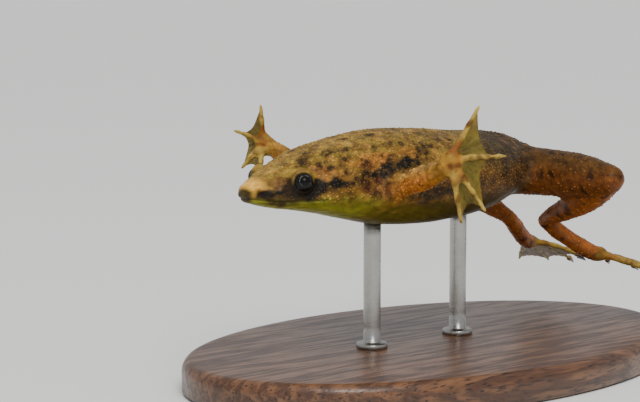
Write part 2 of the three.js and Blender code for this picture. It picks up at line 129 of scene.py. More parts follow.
CLAW_LENGTH = 0.95
FINGER_RADII = (0.5, 0.46, 0.36, 0.41, 0.31, 0.35, 0.26, 0.28, 0.22)
TOE_RADII = (0.5, 0.44, 0.36, 0.42, 0.33, 0.38, 0.3, 0.33, 0.26, 0.22)
# How far the webs reach along each digit, in parts of its length
FINGER_WEB_ENDS = (0.96, 0.96, 0.72, 0.96)
TOE_WEB_ENDS = (0.97,) * 5
WEB_THICK = 0.16
# The soft mounds that carry the left limbs into the trunk: place, then three half axes
MOUNDS = (
    np.array(((4.1, 3.4, -0.9), (2.9, 0.5, 0), (-0.4, 2.7, 0), (0, 0, 2.15))),
    np.array(((22.2, 4.6, -1.6), (1.9, 0, 0), (0, 1.9, 0.5), (0, -0.4, 1.7))),
)

BASE = {"length": 54.0, "width": 34.0, "height": 3.0}
ROD_RADIUS = 0.8
ROD_XS = {"front": 20.0, "rear": 9.0}

# What a place on the left side is multiplied by, for the left side and for the right
SIDES = (np.array((1, 1, 1)), np.array((1, -1, 1)))

# Small helpers


def unit(a):
    a = np.asarray(a, float)
    return a / np.linalg.norm(a, axis=-1, keepdims=True)


def to_row(points):
    return (np.asarray(points, float) + (-BODY_MIDDLE, 0.0, EYE_LEVEL)) * 0.001


def step(low, high, value):
    t = np.clip((value - low) / (high - low), 0.0, 1.0)
    return t * t * (3 - 2 * t)


def bell(value, width):
    return np.exp(-((value / width) ** 2))


def smooth_read(values, share):
    """Values along an even row of stations, as a smooth curve, at shares from 0 to 1."""
    values = np.asarray(values, float)
    place = np.clip(share, 0.0, 1.0) * (len(values) - 1)
    i = np.minimum(place.astype(int), len(values) - 2)
    t = (place - i).reshape(place.shape + (1,) * (values.ndim - 1))
    a, b, c, d = (values[np.clip(i + k, 0, len(values) - 1)] for k in (-1, 0, 1, 2))
    return 0.5 * (
        2 * b + (c - a) * t + (2 * a - 5 * b + 4 * c - d) * t**2 + (3 * b - a - 3 * c + d) * t**3
    )


BODY_SHARES = np.linspace(0, 1, 3000)
BODY_TABLE = smooth_read(BODY_STATIONS, BODY_SHARES)


def body_at(x, column):
    """One of the body's sizes at each x: 1 half width, 2 top, 3 widest level, 4 bottom."""
    return np.interp(x, BODY_TABLE[::-1, 0], BODY_TABLE[::-1, column])


def tone(red, green, blue):
    """A colour given as it looks on screen, 0 to 255, as the light values that shaders take."""
    c = np.array((red, green, blue), float) / 255
    return np.where(c <= 0.04045, c / 12.92, ((c + 0.055) / 1.055) ** 2.4)


def far_from(points, place):
    return np.linalg.norm(points - np.asarray(place), axis=-1)


def round_steps(count):
    return np.linspace(0, 2 * np.pi, count, endpoint=False)


def spokes(across, over, count):
    """Directions round a ring, from its two half axes."""
    angle = round_steps(count)[:, None]
    return np.cos(angle) * across + np.sin(angle) * over


def cell_hash(cell, seed):
    """One whole random number for each cell."""
    h = seed * 2654435
    for k, prime in enumerate((73856093, 19349663, 83492791)):
        h = h ^ (cell[:, k] * prime)
    return h


def stirred(h):
    """The next random number after h, and its share from 0 to 1."""
    h = (h * 1103515245 + 12345) & 0x7FFFFFFF
    return h, ((h >> 8) & 0xFFFF) / 65535.0


def cell_bumps(points, size, seed):
    """For each point, the distance to the nearest of one jittered seed a cell, in cells, and that seed's
    own random number."""
    cell = np.floor(points / size).astype(np.int64) - 1
    best = np.full(len(points), 9.0)
    mark = np.zeros(len(points))
    for offset in np.ndindex(3, 3, 3):
        c = cell + offset
        h = cell_hash(c, seed)
        jitter = []
        for _ in range(4):
            h, share = stirred(h)
            jitter.append(share)
        far = far_from(points, (c + 0.15 + 0.7 * np.stack(jitter[:3], -1)) * size) / size
        mark = np.where(far < best, jitter[3], mark)
        best = np.minimum(best, far)
    return best, mark


def value_noise(points, size, seed):
    """Smooth random values from 0 to 1, changing over about that size."""
    cell = np.floor(points / size).astype(np.int64)
    t = points / size - cell
    t = t * t * (3 - 2 * t)
    total = np.zeros(len(points))
    for corner in np.ndindex(2, 2, 2):
        _, share = stirred(stirred(cell_hash(cell + corner, seed))[0])
        total += np.prod(np.where(corner, t, 1 - t), axis=1) * share
    return total


def patchy(points, size, seed, low, high):
    """Soft random patches of about that size, from 0 to 1."""
    return step(low, high, value_noise(points, size, seed))


# Meshes from rings of points


def tube(rings):
    """Points and faces of a closed tube through rings of points, with a point in the middle of each end."""
    rings = np.asarray(rings, float)
    n, m, _ = rings.shape
    points = np.concatenate(
        [rings.reshape(-1, 3), rings[0].mean(0, keepdims=True), rings[-1].mean(0, keepdims=True)]
    )
    i, k = np.meshgrid(np.arange(n - 1), np.arange(m), indexing="ij")
    a = (i * m + k).ravel()
    b = (i * m + (k + 1) % m).ravel()
    faces = np.stack([a, b, b + m, a + m], -1).tolist()
    for k in range(m):
        j = (k + 1) % m
        faces.append([n * m, j, k])
        faces.append([n * m + 1, (n - 1) * m + k, (n - 1) * m + j])
    return points, faces


def joined(parts):
    points, faces, start = [], [], 0
    for p, f in parts:
        points.append(p)
        faces += [[i + start for i in face] for face in f]
        start += len(p)
    return np.concatenate(points), faces


def closed_mesh(name, points, faces):
    mesh = bpy.data.meshes.new(name)
    mesh.from_pydata(np.asarray(points).tolist(), [], faces)
    b = bmesh.new()
    b.from_mesh(mesh)
    bmesh.ops.recalc_face_normals(b, faces=b.faces)
    b.to_mesh(mesh)
    b.free()
    mesh.update()
    return mesh


def frog_mesh(name, points, faces):
    """A closed mesh from points of the frog's own frame, put into the row frame."""
    mesh = closed_mesh(name, points, faces)
    write_points(mesh, to_row(points))
    return mesh


def placed(name, data):
    made = bpy.data.objects.new(name, data)
    bpy.context.scene.collection.objects.link(made)
    return made


def add_piece(name, mesh, material, slot, *nodes):
    mesh.materials.clear()
    mesh.materials.append(material)
    mesh.shade_smooth()
    piece = placed(name, mesh)
    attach(piece, "root")
    if nodes:
        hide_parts(*nodes)


def read_rows(items, name, width, kind=float):
    flat = np.empty(len(items) * width, dtype=kind)
    items.foreach_get(name, flat)
    return flat.reshape(-1, width)


def read_points(mesh):
    return read_rows(mesh.vertices, "co", 3)


def write_points(mesh, points):
    mesh.vertices.foreach_set("co", np.ascontiguousarray(points).ravel())
    mesh.update()


def eased(points, mesh, weights, rounds):
    """Points drawn towards the middle of their neighbours, by a weight for each."""
    points = points.copy()
    a, b = read_rows(mesh.edges, "vertices", 2, np.int32).T
    count = np.bincount(a, minlength=len(points)) + np.bincount(b, minlength=len(points))
    count = np.maximum(count, 1)[:, None]
    w = np.asarray(weights).reshape(-1, 1)
    for _ in range(rounds):
        columns = [np.bincount(a, p[b], len(p)) + np.bincount(b, p[a], len(p)) for p in points.T]
        points += w * (np.stack(columns, -1) / count - points)
    return points


def write_number(mesh, name, values):
    attribute = mesh.attributes.new(name, "FLOAT", "POINT")
    attribute.data.foreach_set("value", np.ascontiguousarray(values, dtype=np.float32))


def write_colour(mesh, name, colours):
    attribute = mesh.color_attributes.new(name, "FLOAT_COLOR", "POINT")
    four = np.concatenate([colours, np.ones((len(colours), 1))], 1)
    attribute.data.foreach_set("color", np.ascontiguousarray(four, dtype=np.float32).ravel())


# Trunk, head and limbs, as lofts


def body_loft(rings=120, sides=112):
    table = smooth_read(BODY_STATIONS, np.linspace(0, 1, rings))
    angle = round_steps(sides)
    power = 2 / BODY_SQUARENESS
    c, s = np.cos(angle), np.sin(angle)
    x, side, top, wide, bottom = (table[:, k, None] for k in range(5))
    rise = np.where(s > 0, top - wide, wide - bottom)
    y = np.sign(c) * np.abs(c) ** power * side
    z = wide + np.sign(s) * np.abs(s) ** power * rise
    return tube(np.stack([x + 0 * y, y, z], -1))


def limb_line(points, shares):
    """Points along a smooth curve through the joints, evenly spaced, and the direction at each."""
    fine = smooth_read(points, np.linspace(0, 1, 400))
    run = np.concatenate([[0], np.cumsum(np.linalg.norm(np.diff(fine, axis=0), axis=1))])
    run /= run[-1]
    place, ahead, behind = (
        np.stack([np.interp(shares + shift, run, column) for column in fine.T], -1)
        for shift in (0, 0.01, -0.01)
    )
    return place, unit(ahead - behind)


def limb_loft(points, radii, steps=40, sides=28, up=(0, 0, 1), cap=5):
    """A round tube along the joints with rounded ends."""
    index = np.arange(steps + 2 * cap + 1)
    inner = np.clip((index - cap) / steps, 0, 1)
    place, along = limb_line(np.asarray(points, float), inner)
    radius = smooth_read(radii, inner)
    past = np.where(index < cap, cap - index, np.maximum(index - cap - steps, 0))
    lean = past / (cap + 0.3) * np.pi / 2
    way = np.where(index < cap, -1.0, 1.0)
    place = place + along * (way * np.sin(lean) * radius)[:, None]
    radius = radius * np.cos(lean)
    across = unit(np.cross(along, np.asarray(up, float)))[:, None]
    over = np.cross(across, along[:, None])
    return tube(place[:, None] + spokes(across, over, sides) * radius[:, None, None])


def digit_line(root, direction, normal, length, curl, share):
    share = np.asarray(share, float)[..., None]
    return np.asarray(root) + direction * (length * share) - normal * (curl * share**2.2)


def digit_loft(root, digit, normal, curl, radii):
    direction, length = digit
    points = digit_line(root, direction, normal, length, curl, np.linspace(0, 1, 8))
    return limb_loft(points, radii, steps=22, sides=14, up=normal, cap=4)


def lid_ring(turn, form, steps=48, sides=16):
    """A swollen rim round one eye, thickest above and in front."""
    axis = unit(EYE["looks"]) * turn
    centre = np.array(EYE["place"]) * turn + axis * form["seat"]
    ahead = unit(np.cross(axis, (0, 0, 1))) * turn[1]
    down = np.cross(axis, ahead) * turn[1]
    above_front = np.clip(np.cos(round_steps(steps) + 1.15), 0, 1)
    thick = form["tube"] * (0.6 + 0.75 * above_front)[:, None]
    turns = round_steps(sides)
    rings = (
        centre
        + spokes(ahead, down, steps)[:, None] * (form["radius"] + thick * np.cos(turns))[..., None]
        + axis * (thick * np.sin(turns))[..., None]
    )
    i, k = np.meshgrid(np.arange(steps), np.arange(sides), indexing="ij")
    after = (i + 1) % steps * sides
    beside = (k + 1) % sides
    faces = np.stack([i * sides + k, after + k, after + beside, i * sides + beside], -1)
    return rings.reshape(-1, 3), faces.reshape(-1, 4).tolist()


def egg(centre, a, b, c, rings=18, sides=24):
    """A closed egg shape from its middle and its three half axes."""
    lean = np.linspace(0, np.pi, rings + 2)[1:-1, None, None]
    return tube(centre + a * np.cos(lean) + spokes(b, c, sides) * np.sin(lean))


def upwards(direction):
    return direction * np.sign(direction[2])


def fanned(ahead, aside, digits, lean=0.0):
    """The direction and length of each digit of a hand or foot."""
    plan = []
    for angle, length in digits:
        a = math.radians(angle)
        plan.append((unit(ahead * math.cos(a) + aside * math.sin(a) + lean), length))
    return plan


def hand_axes(arm):
    """The directions along a hand, across it and out of its palm."""
    out = unit(arm["out"])
    normal = unit(HAND_FACES)
    return out, upwards(unit(np.cross(normal, out))), normal


def hand_plan(arm):
    out, up, normal = hand_axes(arm)
    return np.array(arm["palm"]), normal, fanned(out, up, arm["fingers"], normal * arm["cup"])


def foot_plan(leg):
    points = unit(leg["points"])
    fan = np.array(leg["fan"])
    fan = unit(fan - points * fan.dot(points))
    root = np.array(leg["heel"]) + points * 0.2
    return root, upwards(unit(np.cross(fan, points))), fanned(points, fan, TOES)


def paw_plans():
    """Root, facing direction, digits, curl, digit radii, web dips and web ends of the hands and the feet."""
    plans = []
    for arm in ARMS.values():
        plans.append((*hand_plan(arm), FINGER_CURL, FINGER_RADII, arm["web_dips"], FINGER_WEB_ENDS))
    for leg in LEGS.values():
        plans.append((*foot_plan(leg), TOE_CURL, TOE_RADII, (FOOT_WEB_DIP,) * 4, TOE_WEB_ENDS))
    return plans


def arm_line(arm):
    return [*arm["joints"], arm["palm"]]


def leg_lines(leg):
    """The middle lines of a thigh, a shank and a tarsus."""
    hip, knee, ankle, heel = (np.array(leg[joint]) for joint in ("hip", "knee", "ankle", "heel"))
    thigh = [hip, (hip + knee) / 2 + (-0.3, 0, 0.1), knee]
    shank = [knee, knee + 0.45 * (ankle - knee) + (-0.25, 0, -0.1), ankle]
    tarsus = [ankle, (ankle + heel) / 2 + (0, 0, -0.15), heel, heel + unit(leg["points"]) * 0.9]
    return thigh, shank, tarsus


def flesh_parts():
    parts = [body_loft()]
    for turn in SIDES:
        parts += [lid_ring(turn, LID), lid_ring(turn, LID_BACK)]
        parts += [egg(*(axis * turn for axis in mound)) for mound in MOUNDS]
    for arm in ARMS.values():
        parts.append(limb_loft(arm_line(arm), ARM_RADII, steps=60))
        out, up, normal = hand_axes(arm)
        middle = np.array(arm["palm"]) - (0, 0, PALM["drop"])
        parts.append(egg(middle, normal * PALM["thick"], out * PALM["along"], up * PALM["across"]))
    for leg in LEGS.values():
        thigh, shank, tarsus = leg_lines(leg)
        parts.append(limb_loft(thigh, THIGH_RADII, sides=40))
        parts.append(limb_loft(shank, SHANK_RADII))
        parts.append(limb_loft(tarsus, TARSUS_RADII, steps=24))
    for root, normal, digits, curl, radii, *_ in paw_plans():
        parts += [digit_loft(root, digit, normal, curl, radii) for digit in digits]
    return parts


# The skin: all the flesh fused into one closed surface, eased at the joints, then given its small forms

VOXEL = 0.172
HEAD_FROM = 29.4
INSET = 0.05
GRAIN = 0.46
# Where the flesh is eased: how far round each joint, and how strongly
EASING = {
    "shoulder": (2.6, 0.7),
    "palm": (1.5, 0.18),
    "hip": (4.2, 0.9),
    "knee": (2.0, 0.3),
    "ankle": (1.7, 0.35),
    "heel": (1.4, 0.3),
}
# Swellings and hollows of the left of the head: place, reach and height
HEAD_SWELLINGS = (
    ((34.25, 0.8, -0.55), 0.75, 0.12),
    ((32.9, 2.1, -0.45), 0.65, -0.13),
    ((30.6, 2.6, 0.82), 0.55, 0.09),
    ((28.4, 4.2, -1.15), 0.9, 0.12),
    ((31.4, 2.9, -1.35), 0.6, 0.06),
    ((29.7, 3.2, 0.6), 0.5, 0.08),
)
# The raised edge from snout to brow and the crease behind the eye: start, end, width and depth
HEAD_CREASES = (
    ((33.8, 1.25, -0.36), (33.2, 1.2, 0.05), 0.2, -0.07),
    ((33.2, 1.2, 0.05), (32.1, 1.75, 0.5), 0.2, -0.07),
    ((32.1, 1.75, 0.5), (30.9, 2.3, 0.9), 0.2, -0.07),
    ((29.4, 3.25, -0.5), (27.6, 4.05, -1.0), 0.16, 0.05),
)
# Loose skin behind the arm, across the throat and at the groin: start, end, width and depth
BODY_FOLDS = (
    ((20.3, 6.2, -2.6), (17.6, 7.0, -1.0), 0.28, 0.12),
    ((20.6, 6.2, -1.2), (18.6, 6.9, 0.4), 0.26, 0.1),
    ((24.3, 4.7, -2.9), (23.8, 5.2, 0.2), 0.3, 0.09),
    ((25.6, 3.4, -3.4), (24.9, 4.8, -1.4), 0.26, 0.07),
    ((22.4, 3.6, -4.3), (20.2, 5.6, -3.4), 0.3, 0.08),
    ((8.0, 6.3, -2.6), (5.6, 5.8, -0.4), 0.3, 0.12),
    ((6.8, 5.4, -3.2), (4.4, 4.9, -2.2), 0.3, 0.1),
)


def fused(points, faces, voxel):
    flesh = closed_mesh("flesh", points, faces)
    blank = placed("flesh", flesh)
    remesh = blank.modifiers.new("fuse", "REMESH")
    remesh.mode = "VOXEL"
    remesh.voxel_size = voxel
    remesh.adaptivity = 0
    made = bpy.data.meshes.new_from_object(blank.evaluated_get(bpy.context.evaluated_depsgraph_get()))
    bpy.data.objects.remove(blank)
    bpy.data.meshes.remove(flesh)
    return made


def finer_head(mesh, from_x):
    """Splits every face that lies wholly ahead of from_x in four, for the small forms of the head."""
    b = bmesh.new()
    b.from_mesh(mesh)
    edges = [e for e in b.edges if min(v.co.x for v in e.verts) > from_x]
    bmesh.ops.subdivide_edges(b, edges=edges, cuts=1, use_grid_fill=True)
    b.to_mesh(mesh)
    b.free()
    mesh.update()


def nearest(points, stations):
    """For each point, the distance to the nearest station, in that station's measure, and its share."""
    best = np.full(len(points), 99.0)
    along = np.zeros(len(points))
    for place, measure, share in stations:
        far = far_from(points, place) / measure
        along = np.where(far < best, share, along)
        best = np.minimum(best, far)
    return best, along


def near_limb(points, line, radii, shares=40):
    """For each point, its distance from a limb's middle line in limb radii, and how far along it lies."""
    share = np.linspace(0, 1, shares)
    place, _ = limb_line(np.asarray(line, float), share)
    return nearest(points, zip(place, smooth_read(radii, share), share))


def near_digits(points, root, normal, digits, curl):
    """Distance in millimetres to the nearest digit's middle line, and the place along that digit."""
    shares = np.linspace(0, 1, 24)
    return nearest(
        points,
        [(digit_line(root, d, normal, length, curl, s), 1.0, s) for d, length in digits for s in shares],
    )


def crease(points, start, end, width, depth):
    """A soft groove along a straight line from start to end."""
    start, end = np.array(start, float), np.array(end, float)
    run = end - start
    share = np.clip((points - start) @ run / run.dot(run), 0, 1)
    far = np.linalg.norm(points - start - share[:, None] * run, axis=1)
    return -depth * bell(far, width) * np.sqrt(np.clip(np.sin(np.pi * (0.08 + 0.84 * share)), 0, 1))


def creases(points, table):
    """The creases of a table, on both sides."""
    total = np.zeros(len(points))
    for turn in SIDES:
        for start, end, width, depth in table:
            total += crease(points, start * turn, end * turn, width, depth)
    return total


def mouth_height(x):
    stops = (MOUTH["corner_x"], MOUTH["sag_x"], BODY_LENGTH)
    return np.interp(x, stops, (MOUTH["corner_z"], MOUTH["sag_z"], MOUTH["tip_z"]))


class Regions:
    """Which part of the frog each point of the skin belongs to, as soft masks from 0 to 1, and the points
    shifted a little at random, so that painted edges look grown."""

    def __init__(self, points):
        x, y, z = points.T
        side = body_at(x, 1)
        wide = body_at(x, 3)
        rise = np.where(z > wide, body_at(x, 2) - wide, wide - body_at(x, 4))
        power = BODY_SQUARENESS
        level = (np.abs(y) / side) ** power + (np.abs(z - wide) / np.maximum(rise, 0.1)) ** power
        outside = np.maximum(level ** (1 / power), np.where((x > 36) | (x < -0.9), 3.0, 0.0))
        off_body = step(1.02, 1.2, outside)
        self.points = points
        self.height = (z - wide) / np.maximum(rise, 0.1)
        self.arm, self.arm_along, self.leg, self.leg_along, self.paw, self.paw_along = np.zeros((6, len(x)))
        for arm in ARMS.values():
            near, along = near_limb(points, arm_line(arm), ARM_RADII)
            mask = step(1.5, 1.1, near) * off_body
            self.arm = np.maximum(self.arm, mask)
            self.arm_along = np.where(mask > 0.01, along, self.arm_along)
        for leg in LEGS.values():
            sections = zip(leg_lines(leg), (THIGH_RADII, SHANK_RADII, TARSUS_RADII))
            for base, (line, radii) in enumerate(sections):
                near, along = near_limb(points, line, radii)
                mask = step(1.35, 1.1, near) * off_body
                self.leg_along = np.where(mask > self.leg, base + along, self.leg_along)
                self.leg = np.maximum(self.leg, mask)
        for root, normal, digits, curl, *_ in paw_plans():
            far, share = near_digits(points, root, normal, digits, curl)
            mask = step(0.95, 0.6, far) * (off_body if root[0] > BODY_MIDDLE else 1)
            self.paw = np.maximum(self.paw, mask)
            self.paw_along = np.where(mask > 0.01, share, self.paw_along)
        self.trunk = 1 - np.maximum(np.maximum(self.arm, self.leg), self.paw)

        drift = [value_noise(points, 0.8, 30 + k) + 0.5 * value_noise(points, 0.32, 40 + k) for k in range(3)]
        drift = np.stack(drift, -1) - 0.75
        self.loose = points + 0.55 * drift
        self.level = self.height + 0.3 * drift[:, 0]
        self.wander = value_noise(points, 1.7, 31) - 0.5
        self.small = value_noise(points, 0.45, 37) - 0.5
        self.dotted = 0.35 + 0.65 * patchy(points, 0.27, 57, 0.3, 0.6)


def joint_weights(points):
    """Where the flesh is eased: strong at the roots of the limbs and at their bends."""
    spots = []
    for arm in ARMS.values():
        shoulder, elbow = (np.array(joint) for joint in arm["joints"][:2])
        spots.append((shoulder + 0.42 * (elbow - shoulder), "shoulder"))
        spots.append((arm["palm"], "palm"))
    for leg in LEGS.values():
        hip, knee = np.array(leg["hip"]), np.array(leg["knee"])
        spots.append((hip + 0.3 * (knee - hip), "hip"))
        spots += [(leg[joint], joint) for joint in ("knee", "ankle", "heel")]
    weight = np.zeros(len(points))
    for centre, joint in spots:
        reach, strength = EASING[joint]
        cover = step(reach * 1.25, reach * 0.6, far_from(points, centre))
        weight = np.maximum(weight, strength * cover)
    return weight


def head_forms(points):
    """The line of the mouth with its lips, nostrils, brows, and the edge from snout to brow."""
    x, y, z = points.T
    above = z - mouth_height(x)
    along = step(MOUTH["corner_x"] - 0.5, MOUTH["corner_x"] + 0.6, x)
    lips = 0.08 * bell(above - 0.24, 0.15) + 0.04 * bell(above + 0.22, 0.13)
    slit = 0.16 * bell(above, 0.08) * (0.4 + 0.6 * step(34.8, 33.6, x))
    move = along * (lips - slit) + creases(points, HEAD_CREASES)
    move += -0.05 * bell(y, 0.6) * step(0.3, 0.9, z) * step(33.6, 32.4, x) * step(28.5, 29.5, x)
    for turn in SIDES:
        for place, reach, height in HEAD_SWELLINGS:
            move += height * bell(far_from(points, place * turn), reach)
        far = far_from(points, NOSTRIL * turn)
        move += -0.28 * bell(far, 0.17) + 0.07 * bell(far - 0.34, 0.1)
        move += -0.06 * bell(far_from(points, EYE["place"] * turn) - 1.5, 0.14)
    return move


def limb_folds(points):
    """Folds inside the bends of the elbows and round the wrists."""
    move = np.zeros(len(points))
    for arm in ARMS.values():
        shoulder, elbow, wrist = (np.array(joint) for joint in arm["joints"])
        for shift in (-0.35, 0.1, 0.5):
            at = elbow + unit(wrist - shoulder) * shift
            move += crease(points, at + (0.9, -0.3, 0.6), at + (0.9, 0.3, -0.6), 0.12, 0.05)
        ahead = unit(wrist - elbow)
        for shift in (-0.3, 0.1):
            at = wrist + ahead * shift
            move += -0.05 * bell((points - at) @ ahead, 0.1) * step(1.6, 1.0, far_from(points, at))
    return move


def granule_forms(regions):
    """Low round granules over back, flanks and limbs, with larger warts among them on the back."""
    points, trunk = regions.points, regions.trunk
    x = points[:, 0]
    rough = trunk * step(-0.6, -0.15, regions.height) * step(35.0, 31.0, x)
    rough = np.maximum(rough, 0.55 * regions.leg)
    rough = np.maximum(rough, regions.arm * (0.4 + 0.5 * step(0.75, 0.5, regions.arm_along)))
    rough = np.maximum(rough, 0.3 * trunk)
    rough *= 1 - 0.9 * regions.paw
    for turn in SIDES:
        rough *= step(1.15, 1.6, far_from(points, EYE["place"] * turn))
    fine, _ = cell_bumps(points, GRAIN, 11)
    move = 0.06 * rough * step(0.62, 0.1, fine)
    wart, mark = cell_bumps(points, 1.25, 23)
    tall = trunk * step(-0.5, 0.2, regions.height) * step(33.0, 29.0, x)
    tall = np.maximum(tall, 0.6 * regions.leg)
    move += 0.11 * tall * step(0.4, 0.95, mark) * step(0.36, 0.05, wart)
    move += 0.12 * (value_noise(points, 2.6, 5) - 0.5) * trunk * step(34.5, 30.0, x)
    return move, rough


# Colours of the skin, as they look in plain light, with painted shade, painted reflection and painted
# highlight among them

TAN = tone(150, 124, 64)
TAN_REAR = tone(126, 104, 52)
WARM = tone(166, 108, 56)
RED_BROWN = tone(100, 52, 30)
GOLDEN = tone(106, 78, 26)
CHEEK = tone(70, 52, 30)
# Throat and belly: a yellowish underside tinted green by painted reflected light from plants, the belly
# darker as painted shade, most at the rear
THROAT = tone(140, 140, 54)
BELLY = tone(98, 90, 32)
BELLY_REAR_SHADE = tone(58, 44, 22)
DARK = tone(40, 25, 18)
STRIPE_AND_SHADOW_BLACK = tone(18, 14, 12)
RUMP = tone(36, 22, 17)
FLANK_REAR = tone(76, 50, 30)
SNOUT = tone(248, 192, 108)
# The arm's upper side: partly a paler sandy tone, partly painted light from above
ARM_TOP_SANDY_AND_LIT = tone(190, 146, 92)
ARM_LOW = tone(190, 118, 58)
THIGH_SIDE = tone(120, 70, 36)
THIGH_TOP = tone(86, 60, 34)
PALM_OCHRE = tone(166, 124, 58)
FINGER_PALE = tone(184, 158, 94)
LOREAL = tone(108, 77, 46)
MOTTLE_BROWN = tone(108, 76, 42)
MOTTLE_PALE = tone(178, 132, 78)
SNOUT_TIP_SHADE = tone(72, 60, 32)
RUMP_PALE = tone(104, 74, 50)
BAND_SHADE = tone(44, 27, 20)
LID_PALE = tone(160, 134, 88)
NOSTRIL_SHADE = tone(30, 20, 14)
MOUTH_SLIT_SHADE = tone(34, 26, 16)
SHANK_ORANGE = tone(158, 92, 48)
PAW_FLECK = tone(84, 54, 32)
PAW_RUST = tone(150, 84, 40)
JOINT_BROWN = tone(92, 62, 38)
PALM_BROWN = tone(98, 56, 28)
PALM_RUST = tone(178, 104, 54)
WEB_OLIVE = tone(110, 99, 52)
WEB_EDGE = tone(146, 122, 64)
WEB_FLECK = tone(84, 62, 38)
WEB_FOOT = tone(122, 84, 52)
# The share of red, green and blue light that the finished skin gives back
PIGMENT = np.array((0.75, 0.71, 0.4))
# The darkest and lightest that the skin may be, in any of the three
SKIN_LIGHT = (0.0015, 0.9)

# Dark spots of the back: x, how far from the middle line, z, and size. The right side has them too, shifted.
BACK_SPOTS = (
    (28.9, 1.1, 2.1, 0.4),
    (29.95, 2.1, 1.4, 0.42),
    (28.8, 3.1, 1.3, 0.42),
    (28.2, 3.8, 0.9, 0.3),
    (27.5, 2.35, 2.2, 0.45),
    (26.2, 2.9, 2.3, 0.4),
    (25.6, 2.75, 2.4, 0.42),
    (26.3, 3.75, 1.65, 0.26),
    (27.0, 4.45, 0.36, 0.28),
    (24.7, 4.4, 1.3, 0.36),
    (22.9, 3.5, 2.6, 0.28),
    (22.8, 4.5, 1.9, 0.24),
    (21.1, 4.0, 2.75, 0.38),
    (20.3, 4.3, 2.7, 0.34),
    (19.2, 4.6, 2.7, 0.32),
    (18.7, 5.3, 2.35, 0.55),
    (18.9, 5.6, 2.0, 0.45),
    (19.9, 5.95, 1.35, 0.45),
    (17.6, 5.5, 2.4, 0.35),
    (16.3, 4.5, 3.0, 0.32),
    (14.9, 4.7, 2.9, 0.32),
    (14.0, 3.0, 3.3, 0.28),
    (24.2, 0.9, 3.1, 0.4),
    (21.7, 1.7, 3.4, 0.42),
    (18.3, 0.7, 3.65, 0.45),
    (17.2, 2.9, 3.3, 0.4),
    (13.0, 5.9, 2.3, 0.5),
    (12.2, 1.5, 3.4, 0.55),
)
# The broken dark band along each side, then painted shadow on the flank under each arm: x, z, half length,
# half height and strength
BAND_AND_ARM_SHADOW = (
    (34.0, -1.25, 0.36, 0.2, 0.9),
    (33.4, -1.12, 0.6, 0.2, 0.9),
    (32.8, -0.95, 0.55, 0.25, 0.95),
    (32.1, -0.68, 0.5, 0.32, 1.0),
    (31.7, -0.38, 0.4, 0.5, 0.75),
    (29.6, -0.75, 0.75, 0.75, 0.95),
    (28.9, -0.45, 0.5, 0.28, 0.8),
    (28.0, -0.43, 0.75, 0.42, 1.0),
    (27.05, -0.5, 0.4, 0.24, 0.7),
    (26.15, -0.28, 0.5, 0.42, 0.95),
    (25.2, 0.0, 0.42, 0.28, 0.85),
    (24.3, 0.15, 0.5, 0.32, 0.95),
    (23.4, 0.3, 0.5, 0.4, 0.9),
    (22.8, 0.7, 0.5, 0.5, 0.85),
    (22.1, 1.05, 0.65, 0.75, 0.85),
    (22.6, -0.2, 0.75, 0.55, 0.75),
    (23.2, -0.7, 0.3, 0.28, 0.8),
    (22.0, -0.3, 0.4, 0.4, 0.8),
    (21.2, 1.15, 0.55, 0.3, 0.9),
    (20.5, 1.2, 0.5, 0.28, 0.9),
    # The last three entries are painted shadow on the flank under the arm
    (19.1, -1.7, 1.0, 0.8, 0.75),
    (17.4, -1.5, 0.8, 0.6, 0.75),
    (20.2, -2.2, 0.8, 0.5, 0.6),
    (15.6, -0.9, 0.9, 0.5, 0.6),
)
# The dark field round each eye: place from the eye's middle, reach and colour
EYE_SHADES = (
    ((0.9, -0.2, -0.75), 0.8, tone(52, 38, 26)),
    ((0.05, 0.0, -0.35), 1.12, tone(28, 22, 21)),
    ((-0.7, 0.3, -0.75), 0.85, tone(26, 21, 20)),
    ((-1.3, 0.4, -0.35), 0.6, tone(26, 21, 20)),
)
# The brown shade that joins the marks of the band: x, then level
BAND_RUN = ((20.0, 22.0, 24.3, 27.0, 30.0), (1.35, 1.0, 0.15, -0.45, -0.7))
# Warmer patches of the side: x, z, half length, half height, strength and colour
WARM_PATCHES = (
    (29.0, 0.75, 0.9, 0.7, 0.8, WARM),
    (28.0, 0.5, 1.3, 0.6, 0.7, WARM),
    (25.6, 1.2, 1.6, 0.7, 0.55, WARM),
    (23.4, 1.5, 1.9, 0.8, 0.9, WARM),
    (24.8, 0.85, 1.1, 0.5, 0.9, RED_BROWN),
    (20.5, 2.0, 1.6, 0.6, 0.6, WARM),
    (24.3, -0.7, 1.7, 1.1, 0.95, RED_BROWN),
    (24.4, -0.8, 1.4, 0.85, 0.85, tone(62, 31, 19)),
    (22.6, -1.6, 1.6, 0.8, 0.7, RED_BROWN),
    (27.3, -1.35, 1.8, 0.75, 0.9, GOLDEN),
    (23.2, -1.3, 1.4, 0.7, 0.85, tone(88, 48, 30)),
)
# Dark marks at the root of each arm: place and size
ARM_MARKS = (((21.1, 6.15, -0.4), 0.5), ((21.5, 6.0, -0.85), 0.35), ((21.6, 5.9, 0.3), 0.3))
# Dark marks of a hand, along and across it from the root of the fingers, in parts of the longest finger
HAND_MARKS = (
    (0.11, 0.18, 0.11),
    (0.46, -0.02, 0.045),
    (0.02, -0.1, 0.05),
    (0.14, -0.1, 0.04),
    (0.25, -0.3, 0.045),
    (0.34, -0.39, 0.04),
    (0.3, 0.55, 0.05),
    (0.12, -0.6, 0.04),
    (0.62, 0.02, 0.035),
    (-0.02, 0.3, 0.08),
    (0.5, -0.05, 0.05),
)
# The rusty patch of a hand, placed in the same way
HAND_RUST = (0.04, 0.25)


class Paint:
    """A colour for each point, covered by one coat after another."""

    def __init__(self, first, count):
        self.colour = np.tile(first, (count, 1))

    def coat(self, colour, mask):
        self.colour = self.colour + (colour - self.colour) * np.clip(mask, 0, 1)[:, None]


